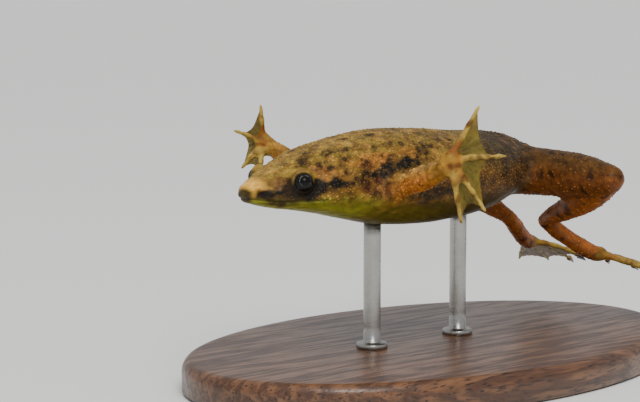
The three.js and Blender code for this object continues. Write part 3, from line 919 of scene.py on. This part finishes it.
def paint_trunk(hide, regions):
    """Olive tan above, warm granular sides, a belly with painted shade and a painted green reflection, a dark
    rump and a pale snout with painted shade under its tip.
    """
    points, trunk, wander, small = regions.points, regions.trunk, regions.wander, regions.small
    h = regions.level
    x, y, z = regions.loose.T
    hide.coat(TAN_REAR, step(26, 17, x))
    hide.coat(WARM, step(0.55, 0.1, h) * step(30, 27, x) * 0.5)
    hide.coat(FLANK_REAR, step(0.35, -0.1, h) * step(21.5, 18.5, x) * 0.9)
    hide.coat(THIGH_SIDE, step(18.0, 2.0, x) * step(-0.1, -0.5, h) * 0.85)
    cloud = 5 * (value_noise(points, 1.1, 61) - 0.5) + 2 * (value_noise(points, 3.1, 63) - 0.5)
    hide.coat(RUMP, step(15.5, 8.0, x + 5 * wander + cloud) * step(-0.35, 0.25, h) * 0.9)
    for px, pz, length, height, strength, warm in WARM_PATCHES:
        far = np.hypot((x - px) / length, (z - pz) / height)
        hide.coat(warm, step(1.3, 0.4, far) * strength * trunk * (np.abs(y) > 1))
    front = trunk * step(10.0, 16.0, x)
    hide.coat(MOTTLE_BROWN, patchy(points, 0.62, 51, 0.45, 0.75) * front * 0.65 * step(34.2, 32.6, x))
    hide.coat(MOTTLE_PALE, patchy(points, 0.5, 53, 0.5, 0.8) * front * 0.5)
    hide.coat(CHEEK, step(0.55, 0.3, h) * step(29.4, 30.6, x) * 0.94)
    loreal = np.stack([(x - 32.5) / 1.3, (np.abs(y) - 2.2) / 1.3, (z + 0.15) / 0.62], -1)
    hide.coat(LOREAL, step(1.25, 0.55, np.linalg.norm(loreal, axis=1)) * 0.85)
    # Throat tone with its painted green reflection, below the mouth and on the lower chest
    hide.coat(THROAT, step(0.15, -0.2, z - mouth_height(x)) * step(28.0, 29.6, x))
    hide.coat(THROAT, step(-0.1, -0.62, h) * step(22, 25, x))
    # Painted shade over the belly, deeper towards the rear behind the arms
    hide.coat(BELLY, step(-0.2, -0.75, h) * step(26, 22, x))
    hide.coat(BELLY_REAR_SHADE, step(-0.15, -0.5, h) * step(21.0, 14.0, x) * 0.8)
    snout = (regions.loose - (34.15, 0.0, -0.45)) / (0.85, 1.8, 0.8)
    far = np.linalg.norm(snout, axis=1) + 0.5 * wander
    hide.coat(SNOUT, step(1.7, 0.25, far) * (0.86 + 0.3 * small))
    far = np.hypot((x - 32.1) / 1.9, (z + 1.35) / 0.55)
    hide.coat(CHEEK, step(1.25, 0.7, far) * 0.85)
    far = np.hypot((x - 32.4) / 1.9, (z + 2.05) / 0.36)
    hide.coat(CHEEK, step(1.3, 0.4, far) * (0.5 + 0.45 * patchy(points, 0.6, 67, 0.35, 0.6)))
    # Painted shade on the lower front of the snout tip
    tip = step(34.45, 34.85, points[:, 0]) + bell(far_from(points, (34.85, 0, -1.35)), 0.5)
    hide.coat(SNOUT_TIP_SHADE, tip * step(-0.5, -1.0, points[:, 2] + 0.4 * wander) * 0.9)
    hide.coat(RUMP_PALE, patchy(points, 0.55, 65, 0.5, 0.8) * step(13.0, 9.0, x) * trunk * 0.6)


def paint_marks(hide, regions):
    """The dark spots of the back, the broken band along each side and painted shadow on the flank under each
    arm.
    """
    points, loose, trunk, dotted = regions.points, regions.loose, regions.trunk, regions.dotted
    x, _, z = loose.T
    for i, (px, py, pz, size) in enumerate(BACK_SPOTS):
        for turn in SIDES:
            shift = (turn[1] < 0) * 0.5 * math.sin(7.3 * i)
            far = far_from(loose, (px + shift, py, pz) * turn)
            hide.coat(DARK, step(size * 1.9, size * 0.7, far) * 0.9 * dotted * trunk)
    speck, mark = cell_bumps(loose, 0.8, 71)
    dots = step(0.3, 0.14, speck) * step(0.55, 0.8, mark) * trunk * step(-0.5, 0.0, regions.level)
    hide.coat(DARK, dots * 0.65 * step(33.0, 31.0, x))

    right = points[:, 1] <= 0
    beside = trunk * (np.abs(points[:, 1]) > 0.8)
    shade = bell(z - np.interp(x, *BAND_RUN), 0.55) * step(19.0, 21.0, x) * step(30.5, 29.5, x)
    hide.coat(BAND_SHADE, shade * 0.9 * (0.5 + 0.5 * dotted) * beside)
    # The band's marks, and painted shadow on the flank under each arm
    for i, (px, pz, length, height, strength) in enumerate(BAND_AND_ARM_SHADOW):
        shift = right * 0.25 * math.sin(5.1 * i) * (px < 29)
        far = np.hypot((x - px - shift) / length, (z - pz) / height)
        broken = np.maximum(dotted, step(0.9, 0.6, far) * step(26.5, 27.5, px))
        hide.coat(STRIPE_AND_SHADOW_BLACK, step(1.4, 0.75, far) * strength * broken * beside)


def paint_eyes(hide, regions):
    """The dark field round each eye, its pale upper lid and painted shade in the nostrils."""
    points, small = regions.points, regions.small
    above_front = unit((0.55, 0.0, 0.83))
    for turn in SIDES:
        from_eye = points - EYE["place"] * turn
        for place, reach, shade in EYE_SHADES:
            far = far_from(from_eye, place * turn) + 0.5 * regions.wander + 0.3 * small
            hide.coat(shade, step(reach * 1.25, reach * 0.7, far) * (0.86 + 0.25 * small))
        looks = unit(EYE["looks"]) * turn
        depth = from_eye @ looks
        flat = from_eye - depth[:, None] * looks
        out = np.linalg.norm(flat, axis=1)
        rim = bell(out - 1.0, 0.13) * step(0.0, 0.3, depth)
        rim *= step(0.1, 0.75, (flat @ above_front) / np.maximum(out, 1e-6))
        hide.coat(LID_PALE, rim * 0.75 * (0.8 + 0.6 * small))
        # Painted shade in each nostril pit
        hide.coat(NOSTRIL_SHADE, bell(far_from(points, NOSTRIL * turn), 0.24) * 0.95)


def arm_colour(regions, top):
    points, along = regions.points, regions.arm_along
    arm = Paint(ARM_LOW, len(points))
    # Upper side of the arm paler: partly its sandy tone, partly painted light from above
    arm.coat(ARM_TOP_SANDY_AND_LIT, top)
    arm.coat(DARK, 0.75 * step(0.34, 0.18, cell_bumps(regions.loose, 1.1, 83)[0]) * (0.3 + 0.7 * top))
    arm.coat(RED_BROWN, 0.6 * patchy(points, 0.6, 85, 0.5, 0.75) * (0.4 + 0.6 * top))
    arm.coat(PALM_OCHRE, step(0.62, 0.85, along) * 0.8)
    return arm.colour


def leg_colour(regions, top):
    leg = Paint(THIGH_SIDE, len(top))
    leg.coat(THIGH_TOP, top * 0.9)
    leg.coat(SHANK_ORANGE, step(0.9, 1.3, regions.leg_along) * 0.85)
    leg.coat(DARK, 0.75 * step(0.34, 0.2, cell_bumps(regions.loose, 1.5, 97)[0] + 0.2 * regions.small))
    leg.coat(DARK, 0.35 * step(0.3, 0.16, cell_bumps(regions.loose, 0.8, 98)[0]))
    return leg.colour


def paw_colour(regions):
    points, along = regions.points, regions.paw_along
    paw = Paint(FINGER_PALE, len(points))
    paw.coat(PALM_OCHRE, step(0.45, 0.1, along) * 0.9)
    paw.coat(PAW_FLECK, 0.55 * step(0.34, 0.16, cell_bumps(regions.loose, 0.75, 101)[0]))
    paw.coat(PAW_RUST, 0.6 * patchy(points, 0.7, 103, 0.5, 0.75) * step(0.7, 0.2, along))
    paw.coat(JOINT_BROWN, 0.5 * (bell(along - 0.38, 0.05) + bell(along - 0.7, 0.05)))
    paw.coat(THIGH_TOP, 0.35 * step(4.0, -2.0, points[:, 0]))
    return paw.colour


def paint_limbs(hide, regions, normals):
    """Orange arms with paler tops, partly painted light from above, browner legs, pale fingers and toes, and
    the marks of the arms and palms.
    """
    loose = regions.loose
    top = step(-0.2, 0.7, normals[:, 2])
    hide.coat(arm_colour(regions, top), regions.arm * step(0.16, 0.42, regions.arm_along))
    outer = regions.dotted * step(4.5, 5.5, np.abs(loose[:, 1]))
    for place, size in ARM_MARKS:
        for turn in SIDES:
            far = far_from(loose, place * turn)
            hide.coat(DARK, step(size * 1.8, size * 0.6, far) * 0.85 * outer)
    hide.coat(leg_colour(regions, top), regions.leg)
    hide.coat(paw_colour(regions), regions.paw)
    for arm in ARMS.values():
        root, _, digits = hand_plan(arm)
        out, up, _ = hand_axes(arm)
        local = (loose - root) / max(length for _, length in digits)
        along, across = local @ out, local @ up
        near = step(7.0, 6.0, far_from(regions.points, root))
        for u, v, size in HAND_MARKS:
            far = np.hypot(along - u, across - v)
            hide.coat(PALM_BROWN, step(size * 1.8, size * 0.7, far) * 0.85 * near)
        far = np.hypot(along - HAND_RUST[0], across - HAND_RUST[1])
        hide.coat(PALM_RUST, step(0.17, 0.05, far) * 0.6 * near)


def markings(regions, normals):
    """All the colours of the skin, with random light and dark in its tone, painted shade between its granules
    and painted shade in the slit of the mouth.
    """
    points = regions.points
    hide = Paint(TAN, len(points))
    paint_trunk(hide, regions)
    paint_marks(hide, regions)
    paint_eyes(hide, regions)
    paint_limbs(hide, regions, normals)
    hide.colour = hide.colour * (1 + 0.34 * regions.small + 0.2 * regions.wander)[:, None] * PIGMENT
    # Painted shade in the gaps between the granules
    gap_shade = step(0.38, 0.62, cell_bumps(points, GRAIN, 11)[0]) * (1 - regions.paw)
    gap_shade *= step(-0.7, -0.2, regions.height) * step(33.5, 29.5, regions.loose[:, 0])
    gap_shade *= patchy(points, 0.7, 69, 0.25, 0.6)
    hide.colour = hide.colour * (1.05 - 0.4 * gap_shade)[:, None]
    # Painted shade in the slit of the mouth
    above = points[:, 2] - mouth_height(points[:, 0])
    hide.coat(MOUTH_SLIT_SHADE, bell(above, 0.06) * step(28.6, 29.3, points[:, 0]) * 0.5)
    return np.clip(hide.colour, *SKIN_LIGHT)


def skin_mesh():
    mesh = fused(*joined(flesh_parts()), VOXEL)
    points = read_points(mesh)
    points = eased(points, mesh, joint_weights(points), 80)
    write_points(mesh, eased(points, mesh, np.full(len(points), 0.5), 3))
    finer_head(mesh, HEAD_FROM)
    points = read_points(mesh)
    head = step(HEAD_FROM - 0.5, HEAD_FROM + 0.5, points[:, 0])
    points = eased(points, mesh, 0.5 * head, 3)
    write_points(mesh, points)
    normals = read_rows(mesh.vertex_normals, "vector", 3)
    regions = Regions(points)
    grains, rough = granule_forms(regions)
    move = head_forms(points) + creases(points, BODY_FOLDS) + limb_folds(points) + grains
    write_number(mesh, "granular", rough)
    write_number(mesh, "studded", np.clip((rough.astype(np.float32) - 0.35) * 1.4, 0, 1))
    write_colour(mesh, "hide", markings(regions, normals))
    write_points(mesh, to_row(points + normals * (move - INSET)[:, None]))
    return mesh


# Shader building


def put(tree, value, socket):
    """Gives a socket a link, a colour or a plain value."""
    if isinstance(value, bpy.types.NodeSocket):
        tree.links.new(value, socket)
    elif isinstance(value, np.ndarray):
        socket.default_value = (*value.tolist(), 1.0)
    else:
        socket.default_value = value


def add_node(tree, kind, inputs=(), **settings):
    """Adds a node with its settings and inputs, and gives back its outputs."""
    made = tree.nodes.new(kind)
    for name, value in settings.items():
        setattr(made, name, value)
    for name, value in dict(inputs).items():
        put(tree, value, made.inputs[name])
    return made.outputs


class Look:
    """One material, with short ways to build its shader."""

    def __init__(self, name):
        self.material = bpy.data.materials.new(name)
        self.material.use_nodes = True
        self.tree = self.material.node_tree

    def node(self, kind, inputs=(), **settings):
        return add_node(self.tree, kind, inputs, **settings)

    def place(self, scale=None, turned=(0, 0, 0)):
        """The place on the object, squeezed and turned where a scale is given."""
        place = self.node("ShaderNodeTexCoord")["Object"]
        if scale is None:
            return place
        return self.node("ShaderNodeMapping", {"Vector": place, "Scale": scale, "Rotation": turned})["Vector"]

    def attribute(self, name):
        return self.node("ShaderNodeAttribute", attribute_name=name)["Fac"]

    def noise(self, place, scale, detail=3.0, rough=0.5):
        inputs = {"Vector": place, "Scale": scale, "Detail": detail, "Roughness": rough}
        return self.node("ShaderNodeTexNoise", inputs)["Fac"]

    def ramp(self, value, low, high, at_low, at_high):
        stops = {"Value": value, "From Min": low, "From Max": high, "To Min": at_low, "To Max": at_high}
        return self.node("ShaderNodeMapRange", stops)["Result"]

    def number(self, operation, a, b=0.0):
        return self.node("ShaderNodeMath", {0: a, 1: b}, operation=operation)[0]

    def times(self, a, b):
        return self.number("MULTIPLY", a, b)

    def mix(self, share, a, b, blend="MIX"):
        return self.node("ShaderNodeMix", {0: share, 6: a, 7: b}, data_type="RGBA", blend_type=blend)[2]

    def surface(self, inputs):
        """Sets the surface shader's sockets and gives back the finished material."""
        shader = self.tree.nodes["Principled BSDF"]
        for name, value in inputs.items():
            put(self.tree, value, shader.inputs[name])
        return self.material


def skin_material(name, coat=0.07, below=0.12, alpha=1.0):
    """Damp granular skin. The painted colour is broken up by fine dark flecks and painted highlights on the
    granule tips.
    """
    look = Look(name)
    place = look.place()
    hide = look.node("ShaderNodeVertexColor", layer_name="hide")["Color"]
    granular = look.attribute("granular")
    grain = look.node("ShaderNodeTexVoronoi", {"Vector": place, "Scale": 2600})["Distance"]
    # Granule tops lightened: a painted highlight
    tip_highlight = look.times(look.times(look.ramp(grain, 0.42, 0.12, 0.0, 1.0), granular), 0.5)
    colour = look.mix(tip_highlight, hide, look.mix(1.0, hide, (1.9, 1.75, 1.6, 1.0), "MULTIPLY"))
    fleck = look.ramp(look.noise(place, 4200, 3.0, 0.6), 0.53, 0.66, 0.0, 1.0)
    herd = look.ramp(look.noise(place, 800, 2.0), 0.38, 0.66, 0.25, 0.85)
    fleck = look.times(look.times(fleck, herd), look.ramp(granular, 0.0, 0.6, 0.35, 1.0))
    colour = look.mix(fleck, colour, look.mix(1.0, hide, (0.24, 0.2, 0.2, 1.0), "MULTIPLY"))
    patch = look.ramp(look.noise(place, 1300), 0.3, 0.75, 0.72, 1.3)
    knobs = look.times(look.ramp(grain, 0.5, 0.0, 0.0, 1.0), granular)
    height = look.number("ADD", knobs, look.times(look.noise(place, 7000, 2.0), 0.35))
    bump = look.node("ShaderNodeBump", {"Height": height, "Strength": 0.55, "Distance": 0.00006})
    return look.surface(
        {
            "Base Color": look.mix(1.0, colour, patch, "MULTIPLY"),
            "Roughness": look.ramp(look.noise(place, 900, 2.0), 0.3, 0.7, 0.42, 0.6),
            "Normal": bump["Normal"],
            "Coat Weight": coat,
            "Coat Roughness": 0.24,
            "Coat IOR": 1.36,
            "Specular IOR Level": 0.16,
            "Subsurface Weight": below,
            "Subsurface Radius": (1.0, 0.42, 0.2),
            "Subsurface Scale": 0.0005,
            "Alpha": alpha,
        }
    )


PUPIL_BLACK = (0.0015, 0.0015, 0.002, 1.0)


def eye_material():
    """Black ball with a thin silvery gold ring round the pupil, under a clear wet coat."""
    look = Look("eye_wet_black")
    turn = look.attribute("from_pupil")
    place = look.place()
    ring = look.times(look.ramp(turn, 0.5, 0.54, 0.0, 1.0), look.ramp(turn, 0.57, 0.62, 1.0, 0.0))
    ring = look.times(ring, look.ramp(look.noise(place, 1500), 0.44, 0.58, 0.0, 1.0))
    ring = look.times(ring, look.ramp(look.noise(place, 7000, 2.0), 0.38, 0.55, 0.15, 1.0))
    iris = look.ramp(look.noise(place, 5200), 0.5, 0.72, 0.0, 1.0)
    iris = look.times(iris, look.ramp(turn, 0.6, 1.1, 0.3, 0.0))
    colour = look.mix(iris, tone(9, 8, 10), tone(70, 60, 48))
    colour = look.mix(ring, colour, tone(124, 126, 110))
    return look.surface(
        {
            "Base Color": look.mix(look.ramp(turn, 0.46, 0.5, 1.0, 0.0), colour, PUPIL_BLACK),
            "Roughness": 0.3,
            "Specular IOR Level": 0.15,
            "Coat Weight": 0.2,
            "Coat Roughness": 0.04,
            "Coat IOR": 1.38,
        }
    )


def claw_material():
    """Dark horn, browner at its root, with pale streaks."""
    look = Look("claw_horn")
    streak = look.noise(look.place(), 6000, 2.0)
    root = look.ramp(look.attribute("to_tip"), 0.0, 0.35, 1.0, 0.0)
    colour = look.mix(root, tone(20, 16, 14), tone(96, 66, 40))
    return look.surface(
        {
            "Base Color": look.mix(look.ramp(streak, 0.5, 0.8, 0.0, 0.4), colour, tone(70, 54, 40)),
            "Roughness": look.ramp(streak, 0.3, 0.7, 0.22, 0.4),
            "Coat Weight": 0.3,
        }
    )


def wood_material():
    """Dark oiled walnut with its grain along the base."""
    look = Look("stand_walnut")
    along = look.place((0.09, 1.0, 1.0), (0.12, 0.05, 0.06))
    bands = look.number("SINE", look.times(look.noise(along, 330, 4.0, 0.55), 42.0))
    bands = look.ramp(bands, -1.0, 1.0, 0.0, 1.0)
    pores = look.ramp(look.noise(along, 5200, 2.0), 0.55, 0.68, 0.0, 1.0)
    colour = look.mix(bands, tone(74, 46, 30), tone(116, 78, 50))
    colour = look.mix(look.ramp(look.noise(along, 1500), 0.3, 0.7, 0.0, 0.5), colour, tone(58, 36, 24))
    bump = look.node("ShaderNodeBump", {"Height": pores, "Strength": 0.35, "Distance": 0.00005}, invert=True)
    return look.surface(
        {
            "Base Color": look.mix(pores, colour, tone(36, 22, 15)),
            "Roughness": look.ramp(bands, 0.0, 1.0, 0.4, 0.3),
            "Normal": bump["Normal"],
            "Coat Weight": 0.15,
            "Coat Roughness": 0.25,
        }
    )


def steel_material():
    """Brushed steel with fine turning marks round each rod."""
    look = Look("stand_steel")
    marks = look.noise(look.place((0.12, 0.12, 1.0)), 9000, 2.0)
    smudge = look.ramp(look.noise(look.place(), 600, 2.0), 0.4, 0.7, 0.0, 0.08)
    return look.surface(
        {
            "Base Color": look.mix(marks, tone(150, 148, 144), tone(196, 194, 190)),
            "Roughness": look.number("ADD", look.ramp(marks, 0.3, 0.7, 0.22, 0.36), smudge),
            "Metallic": 1.0,
        }
    )


# Webs between the digits, thin and a little see-through


def web_sheet(root, normal, a, b, curl, dip, ends, across=26, along=26, start=0.1):
    """One web: a closed thin sheet between two digits, its outer edge drawn back between their tips."""
    s = np.linspace(0, 1, across)[:, None]
    t = np.linspace(0, 1, along)[None, :]
    arch = np.sin(np.pi * s)
    direction = unit(a[0] + (b[0] - a[0]) * s)
    end = ends[0] + (ends[1] - ends[0]) * s
    reach = (a[1] + (b[1] - a[1]) * s) * end
    share = start + (1 - dip * arch**0.8 - start) * t
    hang = 0.22 * arch * np.sin(np.pi * t * 0.7) * (share * reach) / reach.max()
    ripple = 0.03 * np.sin(9 * np.pi * s + 3 * t) * t * arch
    sunk = curl * (share * end) ** 2.2 + hang + ripple
    middle = root + direction[:, None] * (reach * share)[..., None] - normal * sunk[..., None]
    half = normal * (WEB_THICK / 2 * (1 - 0.55 * t**3))[..., None]
    points = np.concatenate([(middle + half).reshape(-1, 3), (middle - half).reshape(-1, 3)])
    i, j = np.meshgrid(np.arange(across - 1), np.arange(along - 1), indexing="ij")
    under = across * along
    top = (i * along + j).reshape(-1, 1) + (0, along, along + 1, 1)
    rim = [i * along for i in range(across - 1)]
    rim += [under - along + j for j in range(along - 1)]
    rim += [i * along + along - 1 for i in range(across - 1, 0, -1)]
    rim += list(range(along - 1, 0, -1))
    faces = [*top.tolist(), *(under + top[:, ::-1]).tolist()]
    faces += [[q, p, under + p, under + q] for p, q in zip(rim, rim[1:] + rim[:1])]
    return points, faces, np.tile(np.repeat(s, along), 2)


def webs_mesh():
    parts, sides = [], []
    for root, normal, digits, curl, _, dips, ends in paw_plans():
        for a, b, dip, end_a, end_b in zip(digits, digits[1:], dips, ends, ends[1:]):
            *part, side = web_sheet(root, normal, a, b, curl, dip, (end_a, end_b))
            parts.append(part)
            sides.append(side)
    points, faces = joined(parts)
    side = np.concatenate(sides)
    paint = Paint(WEB_OLIVE, len(points))
    paint.colour *= 0.7 + 0.6 * value_noise(points, 0.8, 137)[:, None]
    paint.coat(WEB_EDGE, np.clip(bell(side, 0.16) + bell(1 - side, 0.16), 0, 1) * 0.7)
    paint.coat(WEB_FLECK, step(0.32, 0.14, cell_bumps(points, 0.55, 131)[0]) * 0.5)
    paint.coat(WEB_FOOT, step(5.0, 0.0, points[:, 0]) * 0.6)
    mesh = frog_mesh("webs", points, faces)
    write_number(mesh, "granular", np.full(len(points), 0.12))
    write_colour(mesh, "hide", paint.colour * PIGMENT)
    return mesh


# Fine raised granules scattered over the skin by a node tree, in metres

GRANULES = {"Spacing": 0.00026, "Smallest": 0.00007, "Largest": 0.00013, "Seed": 7}
GRANULE_DENSITY = 2.0e7
# They are paler than the skin under them, more so on dark skin: a painted highlight
GRANULE_HIGHLIGHT_LIFT = 1.5
GRANULE_HIGHLIGHT = (0.03, 0.023, 0.016, 0.0)


def granule_tree(material):
    """Flattened beads over a surface, as many as its number "studded" lets through."""
    tree = bpy.data.node_groups.new("skin_granules", "GeometryNodeTree")
    face = tree.interface
    face.new_socket("Geometry", in_out="INPUT", socket_type="NodeSocketGeometry")
    names = {}
    for name, value in GRANULES.items():
        kind = "NodeSocketInt" if name == "Seed" else "NodeSocketFloat"
        socket = face.new_socket(name, in_out="INPUT", socket_type=kind)
        socket.default_value = value
        names[name] = socket.identifier
    face.new_socket("Geometry", in_out="OUTPUT", socket_type="NodeSocketGeometry")
    entry = add_node(tree, "NodeGroupInput")
    amount = add_node(tree, "GeometryNodeInputNamedAttribute", {"Name": "studded"}, data_type="FLOAT")
    scatter = add_node(
        tree,
        "GeometryNodeDistributePointsOnFaces",
        {
            "Mesh": entry["Geometry"],
            "Distance Min": entry["Spacing"],
            "Density Max": GRANULE_DENSITY,
            "Density Factor": amount["Attribute"],
            "Seed": entry["Seed"],
        },
        distribute_method="POISSON",
    )
    ball = add_node(tree, "GeometryNodeMeshIcoSphere", {"Radius": 1.0, "Subdivisions": 1})
    bead = add_node(tree, "GeometryNodeSetShadeSmooth", {"Geometry": ball["Mesh"]})
    limits = {2: entry["Smallest"], 3: entry["Largest"], "Seed": entry["Seed"]}
    size = add_node(tree, "FunctionNodeRandomValue", limits, data_type="FLOAT")[1]
    low = add_node(tree, "ShaderNodeMath", {0: size, 1: 0.55}, operation="MULTIPLY")[0]
    spread = add_node(tree, "ShaderNodeCombineXYZ", {"X": size, "Y": size, "Z": low})
    beads = add_node(
        tree,
        "GeometryNodeInstanceOnPoints",
        {
            "Points": scatter["Points"],
            "Instance": bead["Geometry"],
            "Rotation": scatter["Rotation"],
            "Scale": spread["Vector"],
        },
    )
    real = add_node(tree, "GeometryNodeRealizeInstances", {"Geometry": beads["Instances"]})
    finish = add_node(tree, "GeometryNodeSetMaterial", {"Geometry": real["Geometry"], "Material": material})
    add_node(tree, "NodeGroupOutput", {"Geometry": finish["Geometry"]})
    return tree, names


def granules_mesh(skin, material):
    tree, names = granule_tree(material)
    work = placed("granule_ground", skin.copy())
    modifier = work.modifiers.new("granules", "NODES")
    modifier.node_group = tree
    for name, value in GRANULES.items():
        modifier[names[name]] = value
    graph = bpy.context.evaluated_depsgraph_get()
    mesh = bpy.data.meshes.new_from_object(work.evaluated_get(graph), depsgraph=graph)
    work.modifiers.remove(modifier)
    bpy.data.objects.remove(work)
    hide = mesh.attributes["hide"].data
    # Painted highlight on the granule beads
    colour = read_rows(hide, "color", 4, np.float32) * GRANULE_HIGHLIGHT_LIFT + GRANULE_HIGHLIGHT
    hide.foreach_set("color", np.clip(colour, 0, 1).astype(np.float32).ravel())
    return mesh


# Eyes and claws


def eye_mesh(turn, rings=56, sides=64):
    """An eyeball whose front bulges a little over the pupil."""
    looks = unit(EYE["looks"]) * turn
    across = unit(np.cross(looks, (0, 0, 1)))
    phi = np.linspace(0.02, np.pi - 0.02, rings)
    radius = (EYE["radius"] * (1 + 0.035 * bell(phi, 0.55)))[:, None, None]
    ring = spokes(across, np.cross(across, looks), sides)
    lean = phi[:, None, None]
    ball = EYE["place"] * turn + looks * (radius * np.cos(lean)) + ring * (radius * np.sin(lean))
    points, faces = tube(ball)
    mesh = frog_mesh("eye", points, faces)
    write_number(mesh, "from_pupil", np.concatenate([np.repeat(phi, sides), (0.0, np.pi)]))
    return mesh


def claw_mesh(leg, index, sides=14):
    """A small bent cone over the tip of a toe."""
    root, normal, digits = foot_plan(leg)
    direction, length = digits[index]
    before, tip = digit_line(root, direction, normal, length, TOE_CURL, (0.9, 1.0))
    along = unit(tip - before)
    share = np.linspace(-0.25, 1, 12)
    out = np.clip(share, 0, 1)
    line = tip + along * (share * CLAW_LENGTH)[:, None] - normal * (0.16 * out**2)[:, None]
    radii = 0.27 * (1 - out) ** 0.75 + 0.015
    across = unit(np.cross(along, normal))
    ring = spokes(across, np.cross(across, along), sides)
    points, faces = tube(line[:, None] + ring * radii[:, None, None])
    mesh = frog_mesh("claw", points, faces)
    write_number(mesh, "to_tip", np.concatenate([np.repeat(out, sides), (0.0, 1.0)]))
    return mesh


# Stand


def turned_mesh(name, profile, sides, middle_x=0.0):
    """A closed form round an upright line: half length, half width and height of each ring, in mm."""
    angle = round_steps(sides)
    rings = [
        np.stack([middle_x + long * np.cos(angle), wide * np.sin(angle), np.full(sides, height)], -1)
        for long, wide, height in profile
    ]
    points, faces = tube(rings)
    return closed_mesh(name, points * 0.001, faces)


def base_mesh():
    """An oval plate with a rounded upper edge and a small chamfer underneath."""
    # How far each ring is drawn in from the edge, and its height, in mm
    profile = [(1.2, 0.0), (0.35, 0.0), (0.0, 0.3), (0.0, 1.9)]
    for k in range(1, 9):
        a = k / 8 * math.pi / 2
        profile.append((0.9 * (1 - math.cos(a)), 1.9 + 1.1 * math.sin(a)))
    profile.append((2.4, BASE["height"]))
    long, wide = BASE["length"] / 2, BASE["width"] / 2
    return turned_mesh("stand_base", [(long - inset, wide - inset, z) for inset, z in profile], 160)


def rod_mesh(x):
    """A rod with a thin collar where it enters the base, up into the belly."""
    top = EYE_LEVEL + float(body_at(x, 4)) + 0.35
    # Radius and height of each ring, in mm
    profile = [(0.9, 2.95), (1.35, 2.95), (1.45, 3.05), (1.45, 3.4), (1.35, 3.5), (0.95, 3.5)]
    profile += [(ROD_RADIUS, 3.6 + (top - 3.7) * k / 8) for k in range(9)] + [(0.6, top)]
    return turned_mesh("rod", [(r, r, z) for r, z in profile], 40, x - BODY_MIDDLE)


# Camera, floor and lights, in metres

# Matched to the photo: what the camera looks at, and where it stands from there
CAMERA = {"lens": 101.96, "aim": (0.0162, 0.0023, 0.01743), "towards": HAND_FACES, "distance": 0.159}
FLOOR_HALF = 40.0
FLOOR_PALE = (0.72, 0.72, 0.7, 1.0)
MODEL_MIDDLE = (0.01, 0.0, 0.018)


def look_from(obj, place, target):
    obj.location = place
    obj.rotation_mode = "QUATERNION"
    obj.rotation_quaternion = (Vector(target) - Vector(place)).to_track_quat("-Z", "Y")


def make_camera():
    data = bpy.data.cameras.new("camera")
    data.sensor_width = 36.0
    data.lens = CAMERA["lens"]
    data.clip_start = 0.005
    data.clip_end = 120.0
    camera = placed("camera", data)
    aim = Vector(CAMERA["aim"])
    look_from(camera, aim + Vector(CAMERA["towards"]) * CAMERA["distance"], aim)
    bpy.context.scene.camera = camera


def make_floor():
    mesh = bpy.data.meshes.new("floor")
    corners = [(x * FLOOR_HALF, y * FLOOR_HALF, 0) for x, y in ((-1, -1), (1, -1), (1, 1), (-1, 1))]
    mesh.from_pydata(corners, [], [(0, 1, 2, 3)])
    mesh.materials.append(Look("floor_pale").surface({"Base Color": FLOOR_PALE, "Roughness": 0.75}))
    placed("floor", mesh)


def make_light(name, kind, place, target, strength, **settings):
    data = bpy.data.lights.new(name, kind)
    data.energy = strength
    for setting, value in settings.items():
        setattr(data, setting, value)
    light = placed(name, data)
    look_from(light, place, target)
    return light


def make_studio():
    make_floor()
    sky = make_light("sky", "SUN", (0.3, 0.45, 1.0), (0, 0, 0), 2.6, angle=math.radians(50.0))
    sky.visible_glossy = False
    warm_white = (1.0, 0.98, 0.95)
    window = {"shape": "DISK", "size": 0.12, "color": warm_white}
    make_light("window", "AREA", (0.12, 0.2, 0.22), MODEL_MIDDLE, 0.35, **window)
    world = bpy.data.worlds.new("studio")
    bpy.context.scene.world = world
    world.use_nodes = True
    glow = world.node_tree.nodes["Background"]
    glow.inputs["Color"].default_value = (0.92, 0.94, 0.96, 1.0)
    glow.inputs["Strength"].default_value = 0.6


# The model

LIMB_PARTS = ("upper_arm", "forearm", "hand", "thigh", "shank", "tarsus", "foot")
FLESH = ["torso", "head", "lower_jaw"]
FLESH += [f"{part}_{name}" for name in ("left", "right") for part in LIMB_PARTS]

make_camera()
make_studio()

wet_skin = skin_material("frog_skin")
web_skin = skin_material("web_skin", coat=0.08, below=0.2, alpha=0.88)
skin = skin_mesh()
beads = granules_mesh(skin, wet_skin)
add_piece("skin", skin, wet_skin, "skin", *FLESH)
add_piece("skin_granules", beads, wet_skin, "skin")
add_piece("webs", webs_mesh(), web_skin, "web_skin")

black_eye = eye_material()
claw_horn = claw_material()
for name, turn in zip(("left", "right"), SIDES):
    add_piece(f"eyeball_{name}", eye_mesh(turn), black_eye, "eye", f"eye_{name}")
    for index in range(CLAWED_TOES):
        node = f"claw_{name}_{index + 1}"
        add_piece(f"horn_{name}_{index + 1}", claw_mesh(LEGS[name], index), claw_horn, "claw", node)

add_piece("oval_base", base_mesh(), wood_material(), "stand_wood", "stand_base")
steel = steel_material()
for name, x in ROD_XS.items():
    add_piece(f"rod_{name}", rod_mesh(x), steel, "stand_steel", f"stand_rod_{name}")
